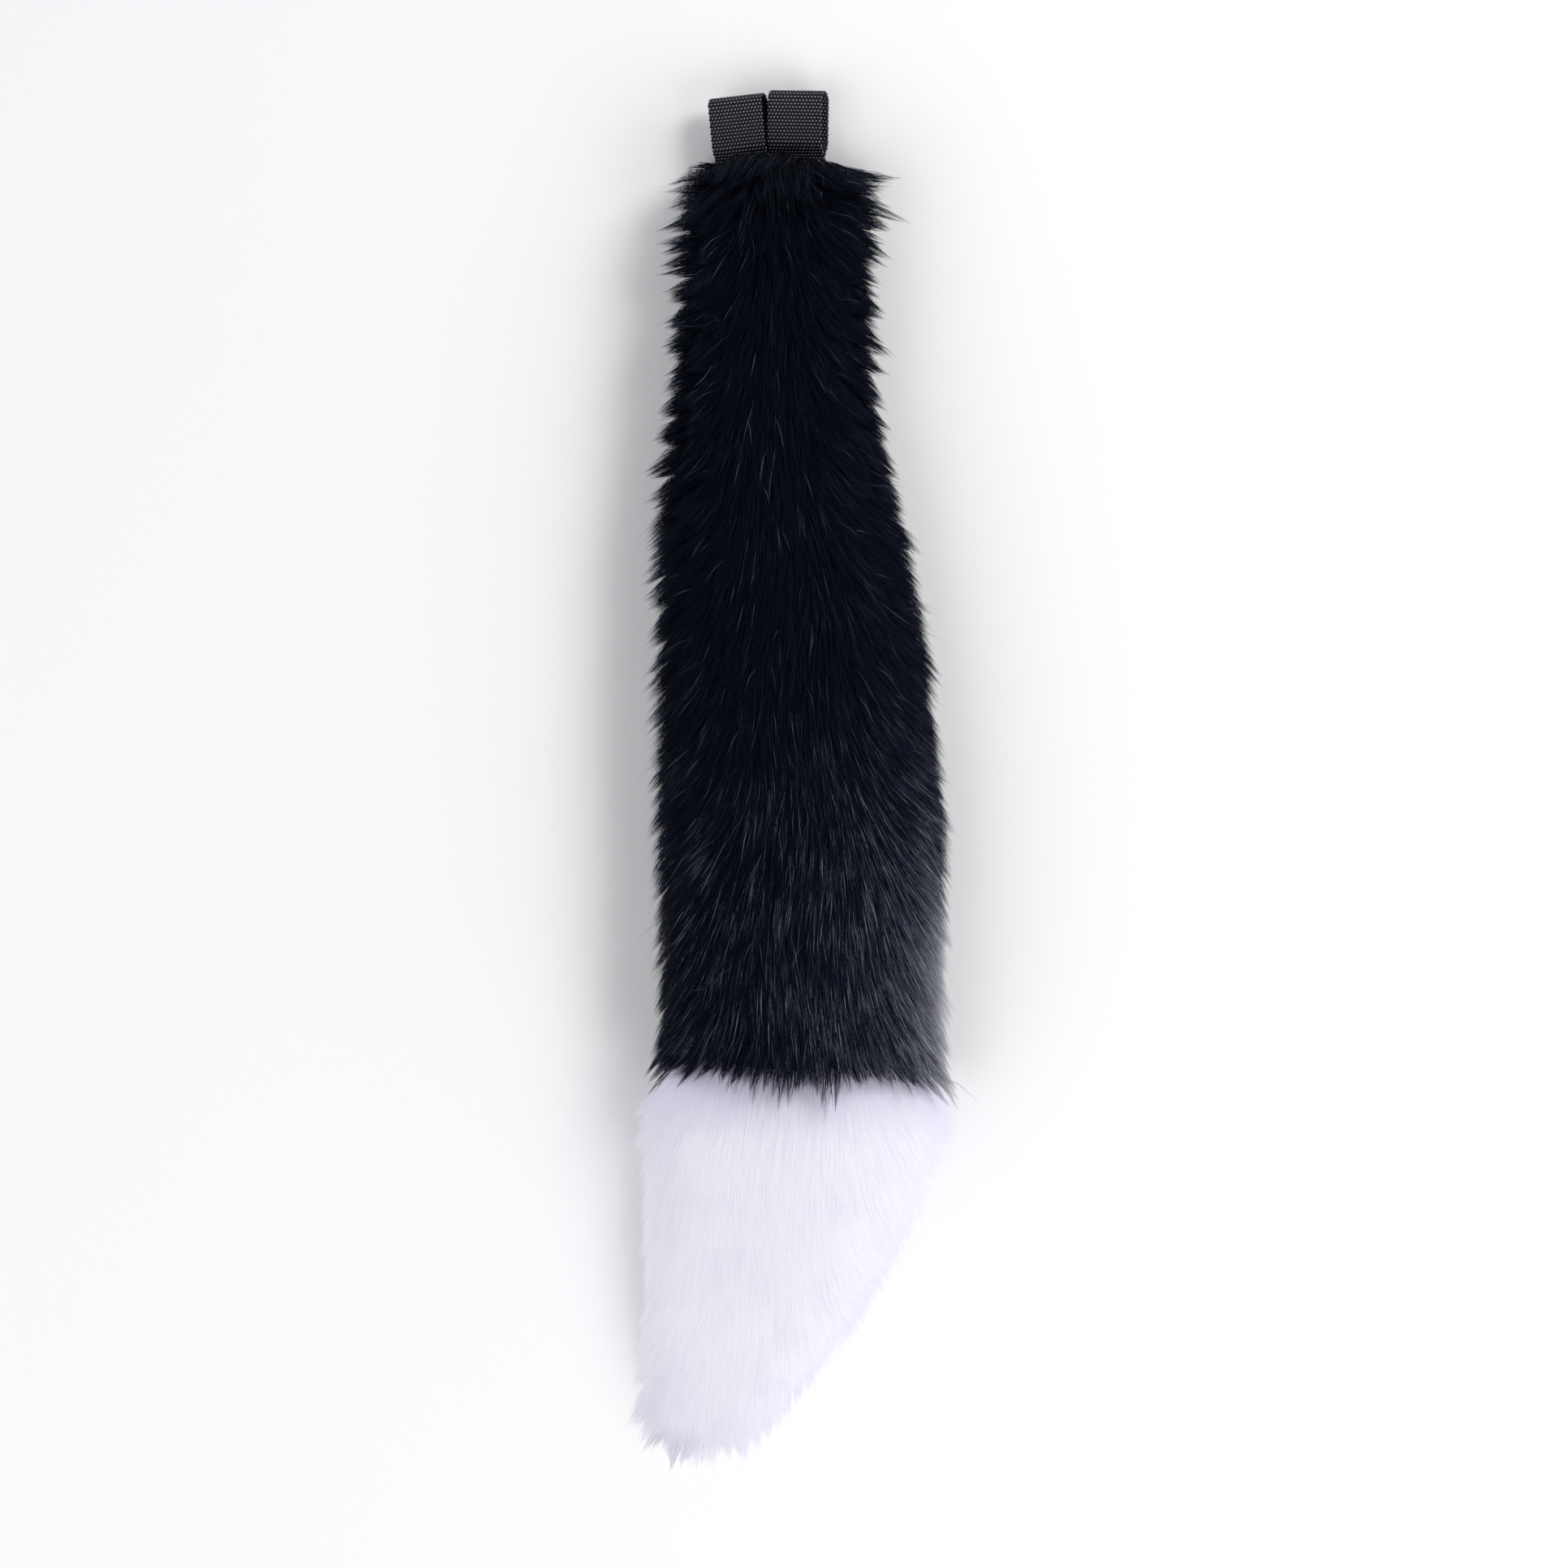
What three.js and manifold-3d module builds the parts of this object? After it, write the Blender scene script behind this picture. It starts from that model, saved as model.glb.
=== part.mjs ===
// Costume animal tail: long-pile fur fabric sewn into a softly stuffed tube, black with a white
// tip, carried by two loops of folded webbing that a waist belt passes through.
// The tail lies on its underside, pressed flat there. X is across, Y along with the loops at
// the +Y end, Z up. Millimetres. The origin is the middle of the underside of the whole box.
import * as THREE from "three";
import { mergeVertices } from "three/addons/utils/BufferGeometryUtils.js";
import Module from "manifold-3d";

// Fur tube, measured over the bed of the pile, without the locks that stand proud of it.
const BODY_LENGTH = 434;
const BODY_WIDTH = 126;
const BODY_HEIGHT = 56;
const TIP_LENGTH = 171;
const TIP_WIDTH = 130;
const TIP_HEIGHT = 55;
const SEAM_GAP = 0.4;

// Locks of pile.
const BODY_LOCK_LENGTH = 27;
const TIP_LOCK_LENGTH = 27;
const LOCK_WIDTH = 13;
const LOCK_THICKNESS = 9;
const LOCK_SINK = 3;
const LOCK_ROW_PITCH = 20;
const LOCK_SIDE_PITCH = 18;
const LOCK_CLEARANCE = 0.4;

// How much one lock differs from the next, as shares of its stand, its side sway and its length.
const STAND_WAVE = 0.12;
const STRAY_WAVE = 0.12;
const LENGTH_WAVE = 0.14;

// The black locks of the last row root this far before the seam, and the first white ones this
// far after it.
const SEAM_OVERHANG_ROOT = 13;
const TIP_FIRST_ROOT = 22;

// Webbing loops. The plies lie together in the seam and have parted fully by LOOP_PARTING.
const STRAP_WIDTH = 25.4;
const STRAP_THICKNESS = 1.6;
const LOOP_REACH = 32;
const LOOP_GAP = 7;
const LOOP_PARTING = 8;
const STRAP_TAIL = 8;
const POCKET_CLEARANCE = 0.4;
const LOOP_HEIGHT = 14;
const FOLD_SEGMENTS = 8;

// How each loop sits in the end seam. across is its place, tilt and yaw are its turns in degrees,
// seen from above and along the tail, sunk is how much deeper it is sewn in, and skew is how far
// its under ply stands out to the right of the upper one.
const LOOPS = [
  { name: "left_belt_loop", across: -20, sunk: 2.4, tilt: 5.5, yaw: 3, skew: 2 },
  { name: "right_belt_loop", across: 6.8, sunk: 0, tilt: -1, yaw: 2, skew: 2.8 },
];

const BLACK_FUR = 0x0b0d16;
const WHITE_FUR = 0xe9e7f1;
const BLACK_WEBBING = 0x1b1b21;
const FUR_ROUGHNESS = 0.85;
const WEB_ROUGHNESS = 0.6;

// Sections down each tube. along is a share of the tube's length from its loop end, centre and
// half are shares of its width, height is a share of its height.
const BODY_SECTIONS = [
  { along: 0.0, centre: -0.045, half: 0.24, height: 0.44 },
  { along: 0.022, centre: -0.042, half: 0.278, height: 0.62 },
  { along: 0.07, centre: -0.035, half: 0.305, height: 0.76 },
  { along: 0.17, centre: -0.048, half: 0.335, height: 0.84 },
  { along: 0.27, centre: -0.045, half: 0.355, height: 0.87 },
  { along: 0.4, centre: -0.015, half: 0.42, height: 0.93 },
  { along: 0.54, centre: 0.03, half: 0.468, height: 0.98 },
  { along: 0.7, centre: 0.058, half: 0.492, height: 1.0 },
  { along: 0.87, centre: 0.066, half: 0.5, height: 1.0 },
  { along: 1.0, centre: 0.062, half: 0.49, height: 0.97 },
];
const TIP_SECTIONS = [
  { along: 0.0, centre: 0.055, half: 0.475, height: 0.96 },
  { along: 0.1, centre: 0.042, half: 0.5, height: 1.0 },
  { along: 0.27, centre: 0.004, half: 0.478, height: 0.97 },
  { along: 0.45, centre: -0.052, half: 0.428, height: 0.88 },
  { along: 0.62, centre: -0.112, half: 0.37, height: 0.77 },
  { along: 0.78, centre: -0.192, half: 0.3, height: 0.62 },
  { along: 0.9, centre: -0.272, half: 0.228, height: 0.45 },
  { along: 0.97, centre: -0.322, half: 0.155, height: 0.3 },
  { along: 1.0, centre: -0.34, half: 0.09, height: 0.18 },
];

// How the pile lies, by share of the tube's length. left and right are how far a lock at that
// side stands off the surface, lift the same on the tube's back, in degrees, and size scales it.
const BODY_COMBING = [
  { along: 0.0, left: 84, right: 64, lift: 24, size: 1.15 },
  { along: 0.06, left: 70, right: 74, lift: 22, size: 0.85 },
  { along: 0.14, left: 62, right: 70, lift: 20, size: 0.75 },
  { along: 0.24, left: 58, right: 58, lift: 19, size: 0.75 },
  { along: 0.36, left: 56, right: 34, lift: 18, size: 0.8 },
  { along: 0.7, left: 44, right: 28, lift: 16, size: 0.85 },
  { along: 1.0, left: 36, right: 26, lift: 13, size: 1.0 },
];
const TIP_COMBING = [
  { along: 0.0, left: 20, right: 20, lift: 12, size: 0.8 },
  { along: 0.5, left: 18, right: 26, lift: 14, size: 0.85 },
  { along: 1.0, left: 38, right: 26, lift: 16, size: 1.0 },
];

// Shares of a section's height: its widest line, and how far its two halves bulge from there.
// The lower half would bulge past the ground, so the ground presses it flat.
const WIDEST_SHARE = 0.42;
const UPPER_BULGE = 1 - WIDEST_SHARE;
const LOWER_BULGE = 0.52;
const SECTION_POINTS = 24;
const RING_PITCH = 30;

// Share of the way round a section, from the right side over the top, where locks begin and end.
const FIRST_LOCK_TURN = -0.045;
const LAST_LOCK_TURN = 0.545;

const wasm = await Module();
wasm.setup();

// A closed solid for joining and cutting, from any geometry. Faces that shrank to a line go.
function solidOf(geometry) {
  const bare = geometry.clone();
  bare.deleteAttribute("normal");
  bare.deleteAttribute("uv");
  const merged = mergeVertices(bare, 1e-4);
  const corners = merged.index.array;
  const kept = [];
  for (let i = 0; i < corners.length; i += 3) {
    const [a, b, c] = corners.slice(i, i + 3);
    if (a !== b && b !== c && c !== a) kept.push(a, b, c);
  }
  return new wasm.Manifold(
    new wasm.Mesh({
      numProp: 3,
      vertProperties: new Float32Array(merged.attributes.position.array),
      triVerts: new Uint32Array(kept),
    }),
  );
}

function geometryOf(solid) {
  const mesh = solid.getMesh();
  const geometry = new THREE.BufferGeometry();
  geometry.setAttribute("position", new THREE.BufferAttribute(mesh.vertProperties, 3));
  geometry.setIndex(new THREE.BufferAttribute(mesh.triVerts, 1));
  geometry.computeVertexNormals();
  return geometry;
}

// A table's columns at a share of the length, on a smooth curve through its rows.
function readTable(rows, share) {
  const last = rows.length - 1;
  const at = rows.findIndex((row) => row.along >= share);
  const next = at < 0 ? last : Math.max(1, at);
  const here = next - 1;
  const reach = rows[next].along - rows[here].along;
  const step = Math.min(1, Math.max(0, (share - rows[here].along) / reach));
  const found = {};
  for (const column of Object.keys(rows[0])) {
    const slope = (at) => {
      const low = Math.max(0, at - 1);
      const high = Math.min(last, at + 1);
      return (rows[high][column] - rows[low][column]) / (rows[high].along - rows[low].along);
    };
    const square = step * step;
    const cube = square * step;
    found[column] =
      rows[here][column] * (2 * cube - 3 * square + 1) +
      rows[next][column] * (3 * square - 2 * cube) +
      slope(here) * reach * (cube - 2 * square + step) +
      slope(next) * reach * (cube - square);
  }
  return found;
}

// The bed of the pile: a tube that starts at y = start and runs towards -Y.
function makeTube({ start, length, width, height, sections, grow = 0 }) {
  const section = (share) => {
    const row = readTable(sections, share);
    return {
      centre: row.centre * width,
      half: row.half * width + grow,
      height: row.height * height + grow,
    };
  };
  // turn is a share of the way round, from the right side over the top.
  const point = (share, turn) => {
    const { centre, half, height: tall } = section(share);
    const angle = turn * 2 * Math.PI;
    const bulge = Math.sin(angle) > 0 ? UPPER_BULGE : LOWER_BULGE;
    const z = tall * (WIDEST_SHARE + bulge * Math.sin(angle));
    return new THREE.Vector3(
      centre + half * Math.cos(angle),
      start - share * length,
      Math.max(-grow, z),
    );
  };
  const normal = (share, turn) => {
    const small = 1e-3;
    const inside = Math.min(1 - small, Math.max(small, share));
    const round = point(inside, turn + small).sub(point(inside, turn - small));
    const down = point(inside + small, turn).sub(point(inside - small, turn));
    return round.cross(down).normalize();
  };
  const girth = (share) => {
    const { half, height: tall } = section(share);
    return Math.PI * (half + tall / 2);
  };
  return { length, point, normal, girth };
}

// A closed skin through rings of the same number of points, with a flat fan at each end.
function skinRings(rings) {
  const around = rings[0].length;
  const positions = rings.flat().flatMap((p) => [p.x, p.y, p.z]);
  const index = [];
  for (let ring = 0; ring + 1 < rings.length; ring++)
    for (let i = 0; i < around; i++) {
      const a = ring * around + i;
      const b = ring * around + ((i + 1) % around);
      index.push(a, b, a + around, b, b + around, a + around);
    }
  const lastRing = (rings.length - 1) * around;
  for (let i = 1; i + 1 < around; i++) {
    index.push(0, i + 1, i);
    index.push(lastRing, lastRing + i, lastRing + i + 1);
  }
  const geometry = new THREE.BufferGeometry();
  geometry.setAttribute("position", new THREE.Float32BufferAttribute(positions, 3));
  geometry.setIndex(index);
  return geometry;
}

function tubeSolid(tube, sections) {
  const rings = [];
  const spans = Math.max(8, Math.round(tube.length / RING_PITCH));
  const shares = new Set(sections.map((row) => row.along));
  for (let i = 0; i <= spans; i++) {
    const share = i / spans;
    if ([...shares].every((taken) => Math.abs(taken - share) * spans > 0.5)) shares.add(share);
  }
  for (const share of [...shares].sort((a, b) => a - b)) {
    const ring = [];
    for (let i = 0; i < SECTION_POINTS; i++) ring.push(tube.point(share, i / SECTION_POINTS));
    rings.push(ring);
  }
  return solidOf(skinRings(rings));
}

// One lock of pile: a flattened, tapered horn that leaves the surface and bends along the nap.
function lockSolid(tube, share, turn, combing, length, wave) {
  const comb = readTable(combing, Math.min(1, share));
  const root = tube.point(share, turn);
  const out = tube.normal(share, turn);
  const side = out.x < 0 ? comb.left : comb.right;
  const stand = THREE.MathUtils.degToRad(
    THREE.MathUtils.lerp(comb.lift, side, Math.abs(out.x)) * (1 + STAND_WAVE * wave),
  );
  const down = new THREE.Vector3(STRAY_WAVE * wave, -1, 0).addScaledVector(out, out.y).normalize();
  const nap = down.multiplyScalar(Math.cos(stand)).addScaledVector(out, Math.sin(stand));
  const across = new THREE.Vector3().crossVectors(out, nap).normalize();
  const thick = new THREE.Vector3().crossVectors(nap, across).normalize();
  const reach = length * comb.size * (1 + LENGTH_WAVE * wave);
  const base = root.clone().addScaledVector(out, -LOCK_SINK);
  const ring = (step, wide, deep) => {
    const middle = base
      .clone()
      .addScaledVector(nap, reach * step)
      .addScaledVector(out, LOCK_SINK * Math.sin(step * Math.PI));
    return [
      middle.clone().addScaledVector(across, (wide * LOCK_WIDTH) / 2),
      middle.clone().addScaledVector(thick, (deep * LOCK_THICKNESS) / 2),
      middle.clone().addScaledVector(across, (-wide * LOCK_WIDTH) / 2),
      middle.clone().addScaledVector(thick, (-deep * LOCK_THICKNESS) / 2),
    ];
  };
  return solidOf(skinRings([ring(0, 1, 1), ring(0.45, 0.9, 0.75), ring(1, 0, 0)]));
}

// Locks in rows down the tube, every second row moved round by half a lock.
function addLocks(solid, tube, { combing, length, firstShare, lastShare }) {
  const rows = Math.round(((lastShare - firstShare) * tube.length) / LOCK_ROW_PITCH);
  let grown = solid;
  for (let row = 0; row <= rows; row++) {
    const share = firstShare + ((lastShare - firstShare) * row) / rows;
    const span = LAST_LOCK_TURN - FIRST_LOCK_TURN;
    const count = Math.max(3, Math.round((tube.girth(share) * span) / LOCK_SIDE_PITCH));
    const shift = row % 2 ? 0.5 : 0;
    for (let i = 0; i + shift <= count; i++) {
      const turn = FIRST_LOCK_TURN + (span * (i + shift)) / count;
      const wave = Math.sin(2.4 * i + 1.7 * row);
      grown = grown.add(lockSolid(tube, share, turn, combing, length, wave));
    }
  }
  return grown;
}

// Everything under the ground that the tail lies on, to trim what a lock pushes into it.
function groundSolid() {
  const deep = 4 * BODY_HEIGHT;
  const wide = 4 * (BODY_WIDTH + TIP_WIDTH);
  const long = 4 * (BODY_LENGTH + TIP_LENGTH);
  return solidOf(new THREE.BoxGeometry(wide, long, deep).translate(0, 0, -deep / 2));
}

// Side view of one folded strap, in (y, z) about its sewn end: two plies that lie together in
// the seam, part above it and meet again in the round fold. grow widens it all round.
function strapShape(grow) {
  const tail = STRAP_THICKNESS + grow;
  const fold = LOOP_GAP / 2 + STRAP_THICKNESS + grow;
  const foldCentre = LOOP_REACH - LOOP_GAP / 2 - STRAP_THICKNESS;
  const shape = new THREE.Shape();
  shape.moveTo(-STRAP_TAIL - grow, tail);
  shape.lineTo(-STRAP_TAIL - grow, -tail);
  shape.lineTo(0, -tail);
  shape.bezierCurveTo(LOOP_PARTING / 2, -tail, LOOP_PARTING / 2, -fold, LOOP_PARTING, -fold);
  shape.lineTo(foldCentre, -fold);
  shape.absarc(foldCentre, 0, fold, -Math.PI / 2, Math.PI / 2, false);
  shape.lineTo(LOOP_PARTING, fold);
  shape.bezierCurveTo(LOOP_PARTING / 2, fold, LOOP_PARTING / 2, tail, 0, tail);
  return shape;
}

// The space between the plies, which the belt goes through.
function beltSpace() {
  const half = LOOP_GAP / 2;
  const foldCentre = LOOP_REACH - half - STRAP_THICKNESS;
  const parting = LOOP_PARTING / 2;
  const hole = new THREE.Path();
  hole.moveTo(STRAP_THICKNESS, 0);
  hole.bezierCurveTo(parting + STRAP_THICKNESS, 0, parting, half, LOOP_PARTING, half);
  hole.lineTo(foldCentre, half);
  hole.absarc(foldCentre, 0, half, Math.PI / 2, -Math.PI / 2, true);
  hole.lineTo(LOOP_PARTING, -half);
  hole.bezierCurveTo(parting, -half, parting + STRAP_THICKNESS, 0, STRAP_THICKNESS, 0);
  return hole;
}

// A strap's side view made as wide as the webbing, skewed and set in the end seam.
function strapGeometry(shape, loop, grow) {
  const width = STRAP_WIDTH + 2 * grow;
  const geometry = new THREE.ExtrudeGeometry(shape, {
    depth: width,
    bevelEnabled: false,
    curveSegments: FOLD_SEGMENTS,
  });
  const upright = new THREE.Matrix4().set(0, 0, 1, 0, 1, 0, 0, 0, 0, 1, 0, 0, 0, 0, 0, 1);
  const skew = new THREE.Matrix4();
  skew.elements[8] = -loop.skew / (LOOP_GAP + 2 * STRAP_THICKNESS);
  const set = new THREE.Matrix4()
    .makeTranslation(loop.across, -loop.sunk, LOOP_HEIGHT)
    .multiply(new THREE.Matrix4().makeRotationZ(THREE.MathUtils.degToRad(loop.tilt)))
    .multiply(new THREE.Matrix4().makeRotationY(THREE.MathUtils.degToRad(-loop.yaw)));
  return geometry
    .translate(0, 0, -width / 2)
    .applyMatrix4(upright)
    .applyMatrix4(skew)
    .applyMatrix4(set);
}

function makeLoop(loop) {
  const shape = strapShape(0);
  shape.holes.push(beltSpace());
  return strapGeometry(shape, loop, 0);
}

// The largest body of a solid, without crumbs that a cut has freed.
function mainBody(solid) {
  return solid.decompose().reduce((best, body) => (body.volume() > best.volume() ? body : best));
}

const bodyTube = { start: 0, length: BODY_LENGTH, width: BODY_WIDTH, height: BODY_HEIGHT };
const tipTube = {
  start: -BODY_LENGTH - SEAM_GAP,
  length: TIP_LENGTH,
  width: TIP_WIDTH,
  height: TIP_HEIGHT,
};

// The black tube with its locks. The last row hangs over the seam on to the white tip, and the
// straps' sewn ends sit in pockets in its end.
function makeBody(ground) {
  const tube = makeTube({ ...bodyTube, sections: BODY_SECTIONS });
  let solid = addLocks(tubeSolid(tube, BODY_SECTIONS), tube, {
    combing: BODY_COMBING,
    length: BODY_LOCK_LENGTH,
    firstShare: 0,
    lastShare: 1 - SEAM_OVERHANG_ROOT / BODY_LENGTH,
  });
  const under = makeTube({ ...tipTube, sections: TIP_SECTIONS, grow: LOCK_CLEARANCE });
  solid = solid.subtract(tubeSolid(under, TIP_SECTIONS)).subtract(ground);
  for (const loop of LOOPS)
    solid = solid.subtract(solidOf(strapGeometry(strapShape(POCKET_CLEARANCE), loop, POCKET_CLEARANCE)));
  return geometryOf(mainBody(solid));
}

// The white tube with its locks, which start clear of the black ones that hang over it.
function makeTip(ground) {
  const tube = makeTube({ ...tipTube, sections: TIP_SECTIONS });
  const solid = addLocks(tubeSolid(tube, TIP_SECTIONS), tube, {
    combing: TIP_COMBING,
    length: TIP_LOCK_LENGTH,
    firstShare: TIP_FIRST_ROOT / TIP_LENGTH,
    lastShare: 1,
  });
  return geometryOf(mainBody(solid.subtract(ground)));
}

function named(name, geometry, color, roughness) {
  const material = new THREE.MeshStandardMaterial({ color, roughness, metalness: 0 });
  const mesh = new THREE.Mesh(geometry, material);
  mesh.name = name;
  return mesh;
}

const group = new THREE.Group();
const ground = groundSolid();
group.add(named("black_fur_body", makeBody(ground), BLACK_FUR, FUR_ROUGHNESS));
group.add(named("white_fur_tip", makeTip(ground), WHITE_FUR, FUR_ROUGHNESS));
for (const loop of LOOPS) group.add(named(loop.name, makeLoop(loop), BLACK_WEBBING, WEB_ROUGHNESS));

// The origin goes to the middle of the underside of the whole box.
const box = new THREE.Box3().setFromObject(group);
const middle = box.getCenter(new THREE.Vector3());
group.position.set(-middle.x, -middle.y, -box.min.z);
export default group;
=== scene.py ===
"""Costume animal tail: long-pile fur sewn into a softly stuffed tube, black with a white tip,
and two loops of folded webbing for a waist belt. It lies on a pale floor, seen from above."""

import math
from collections import namedtuple

import bpy
import numpy as np
from mathutils import Euler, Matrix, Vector, kdtree


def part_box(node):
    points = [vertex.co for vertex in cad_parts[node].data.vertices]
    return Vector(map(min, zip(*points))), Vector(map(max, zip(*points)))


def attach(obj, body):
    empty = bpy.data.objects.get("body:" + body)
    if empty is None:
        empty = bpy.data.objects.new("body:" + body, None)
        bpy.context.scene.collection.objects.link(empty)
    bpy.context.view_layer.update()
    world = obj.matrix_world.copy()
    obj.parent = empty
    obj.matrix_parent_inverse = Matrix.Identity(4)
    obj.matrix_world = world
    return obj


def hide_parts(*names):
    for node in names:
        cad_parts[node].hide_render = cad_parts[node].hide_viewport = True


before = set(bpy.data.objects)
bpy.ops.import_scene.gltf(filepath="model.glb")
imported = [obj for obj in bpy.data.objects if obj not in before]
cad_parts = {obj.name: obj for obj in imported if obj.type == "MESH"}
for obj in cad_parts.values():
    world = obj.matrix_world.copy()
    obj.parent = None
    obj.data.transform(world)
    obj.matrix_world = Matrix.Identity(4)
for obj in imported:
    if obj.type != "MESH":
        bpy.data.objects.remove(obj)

bl_info = {
    "name": "Costume animal tail",
    "version": (1, 0, 0),
    "blender": (4, 5, 0),
    "location": "View3D > Sidebar > Costume tail",
    "description": "Dresses the tail's frame in strands of fur and woven belt loops",
    "category": "Object",
}

MM = 0.001

# The two fur tubes, in metres, in the frame. Both run towards -Y, the black one from the loop end
# to the seam and the white one on from there, a small gap apart.
SEAM_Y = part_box("white_fur_tip")[1].y
BODY_LENGTH = 434 * MM
BODY_WIDTH = 126 * MM
BODY_HEIGHT = 56 * MM
TIP_LENGTH = 171 * MM
TIP_WIDTH = 130 * MM
TIP_HEIGHT = 55 * MM
BED_GAP = 0.4 * MM
LOOP_END_Y = SEAM_Y + BED_GAP + BODY_LENGTH
# The line that the sections' middles are measured from, and how far right of it the black bed's
# own line lies.
TUBE_X = -5.2 * MM
BODY_SHIFT = 1.8 * MM

# How far the beds lie inside the frame's tubes, at their sides and on top.
Inset = namedtuple("Inset", "along side top")
BODY_INSETS = (
    Inset(0.0, 4 * MM, 5 * MM),
    Inset(0.06, 7.5 * MM, 7 * MM),
    Inset(0.5, 5 * MM, 7 * MM),
    Inset(1.0, 4.5 * MM, 5 * MM),
)
TIP_INSETS = (
    Inset(0.0, 2.5 * MM, 6 * MM),
    Inset(0.12, 4.5 * MM, 6.5 * MM),
    Inset(0.35, 5.2 * MM, 5 * MM),
    Inset(0.6, 6 * MM, 4.5 * MM),
    Inset(1.0, 8 * MM, 7 * MM),
)
# How far the beds' undersides lie above the floor, on their short pile.
FLOOR_GAP = 1.2 * MM

# Stuffing a bed: the size of its cloth mesh, the pressure in it, and the frames that it swells for.
BED_VOXEL = 6 * MM
STUFFING_PRESSURE = 4.0
STUFFING_FRAMES = 20

# A section's widest line and its bulge to either side of it, as shares of its height.
MIDDLE_SHARE = 0.45
BULGE_SHARE = 0.55

# A section's place along its tube, its middle and half width as shares of the tube's width, and
# its height as a share of the tube's.
Section = namedtuple("Section", "along centre half height")
BODY_SECTIONS = (
    Section(0.0, -0.058, 0.24, 0.44),
    Section(0.022, -0.05, 0.28, 0.62),
    Section(0.07, -0.035, 0.305, 0.76),
    Section(0.17, -0.048, 0.335, 0.84),
    Section(0.27, -0.045, 0.355, 0.87),
    Section(0.33, -0.032, 0.385, 0.9),
    Section(0.4, -0.015, 0.42, 0.93),
    Section(0.54, 0.03, 0.468, 0.98),
    Section(0.7, 0.058, 0.492, 1.0),
    Section(0.87, 0.066, 0.5, 1.0),
    Section(1.0, 0.062, 0.49, 0.97),
)
TIP_SECTIONS = (
    Section(0.0, 0.055, 0.475, 0.96),
    Section(0.1, 0.042, 0.5, 1.0),
    Section(0.27, 0.004, 0.478, 0.97),
    Section(0.45, -0.052, 0.428, 0.88),
    Section(0.62, -0.112, 0.37, 0.77),
    Section(0.78, -0.192, 0.3, 0.62),
    Section(0.9, -0.272, 0.228, 0.45),
    Section(0.97, -0.322, 0.155, 0.3),
    Section(1.0, -0.34, 0.09, 0.18),
)

# Each bed, with the tube that it fills and how far stuffing may swell it.
Tube = namedtuple("Tube", "bed start length width height sections insets shift swell")
BODY_TUBE = Tube("black_fur_bed", LOOP_END_Y, BODY_LENGTH, BODY_WIDTH, BODY_HEIGHT,
                 BODY_SECTIONS, BODY_INSETS, BODY_SHIFT, 3 * MM)
TIP_TUBE = Tube("white_fur_bed", SEAM_Y, TIP_LENGTH, TIP_WIDTH, TIP_HEIGHT,
                TIP_SECTIONS, TIP_INSETS, 0.0, 2.5 * MM)

# How the pile lies, by share of the tube's length. left and right are how far a strand at that
# side stands off the fabric and lift the same on the tube's back. fan_left and fan_right are how
# far the nap turns outwards beside the back. All in degrees. size scales the pile, and ragged says
# how far it parts into locks.
Comb = namedtuple("Comb", "along left right lift fan_left fan_right size ragged")
BODY_COMBING = (
    Comb(0.0, 78, 60, 24, 46, 40, 1.06, 1.2),
    Comb(0.05, 76, 72, 24, 40, 45, 0.95, 1.2),
    Comb(0.12, 68, 66, 22, 34, 45, 0.8, 1.2),
    Comb(0.24, 70, 52, 20, 30, 42, 0.78, 1.05),
    Comb(0.36, 60, 42, 18, 28, 38, 0.82, 0.9),
    Comb(0.7, 44, 34, 16, 28, 36, 0.88, 0.7),
    Comb(0.94, 36, 32, 14, 30, 28, 0.92, 0.8),
    Comb(1.0, 40, 34, 14, 34, 26, 1.12, 1.1),
)
TIP_COMBING = (
    Comb(0.0, 62, 44, 6, 20, 26, 0.78, 0.6),
    Comb(0.07, 42, 34, 6, 18, 32, 0.85, 0.6),
    Comb(0.15, 30, 30, 6, 16, 38, 0.92, 0.8),
    Comb(0.5, 26, 28, 5, 16, 40, 0.95, 0.9),
    Comb(0.8, 36, 26, 6, 26, 34, 0.95, 1.1),
    Comb(0.9, 44, 18, 8, 34, 24, 0.88, 1.2),
    Comb(1.0, 56, 14, 12, 44, 8, 1.0, 1.3),
)

# How far the black pile's last strands root before the seam, in millimetres, by their place
# across the tail. They hang over the white pile least at the left.
SEAM_STOPS = ((-78, 2), (-60, 3), (-48, 9), (-34, 13), (-14, 12), (20, 10), (60, 6), (78, 3))

# How strongly strands draw together at their tips, into coarse and fine locks, on the back and at
# the edges, and how much shorter they are at the side of a lock than in its middle.
Parting = namedtuple("Parting", "coarse_back coarse_edge fine_back fine_edge point")
BLACK_PARTING = Parting(0.22, 0.85, 0.4, 0.85, 0.75)
WHITE_PARTING = Parting(0.04, 0.7, 0.05, 0.6, 0.7)

# Locks of pile: coarse ones stand apart at the edges, fine ones part the surface.
COARSE_LOCK = 12.5 * MM
FINE_LOCK = 4.2 * MM
# How late strands draw together along their length, how much longer than the pile those in a
# lock's middle are, and how the pull differs from lock to lock.
DRAW_CURVE = 1.25
LOCK_CREST = 1.12
PULL_SPREAD = (0.6, 1.1)
# The last rows of pile, from the first share of the tube's length to the second, whose fine locks
# hold together this strongly.
LAST_ROWS = (0.91, 0.96)
LAST_PULL = 0.94
# The tail's ends part into locks this much as strongly as its sides.
END_PARTING = 0.8
# How much of its fur's point a coarse lock has on the back, and what it gains towards the edge.
BACK_POINT = (0.3, 0.7)
# A fine lock at the edge is this much as pointed as a coarse one.
FINE_POINT = 0.5

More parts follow.
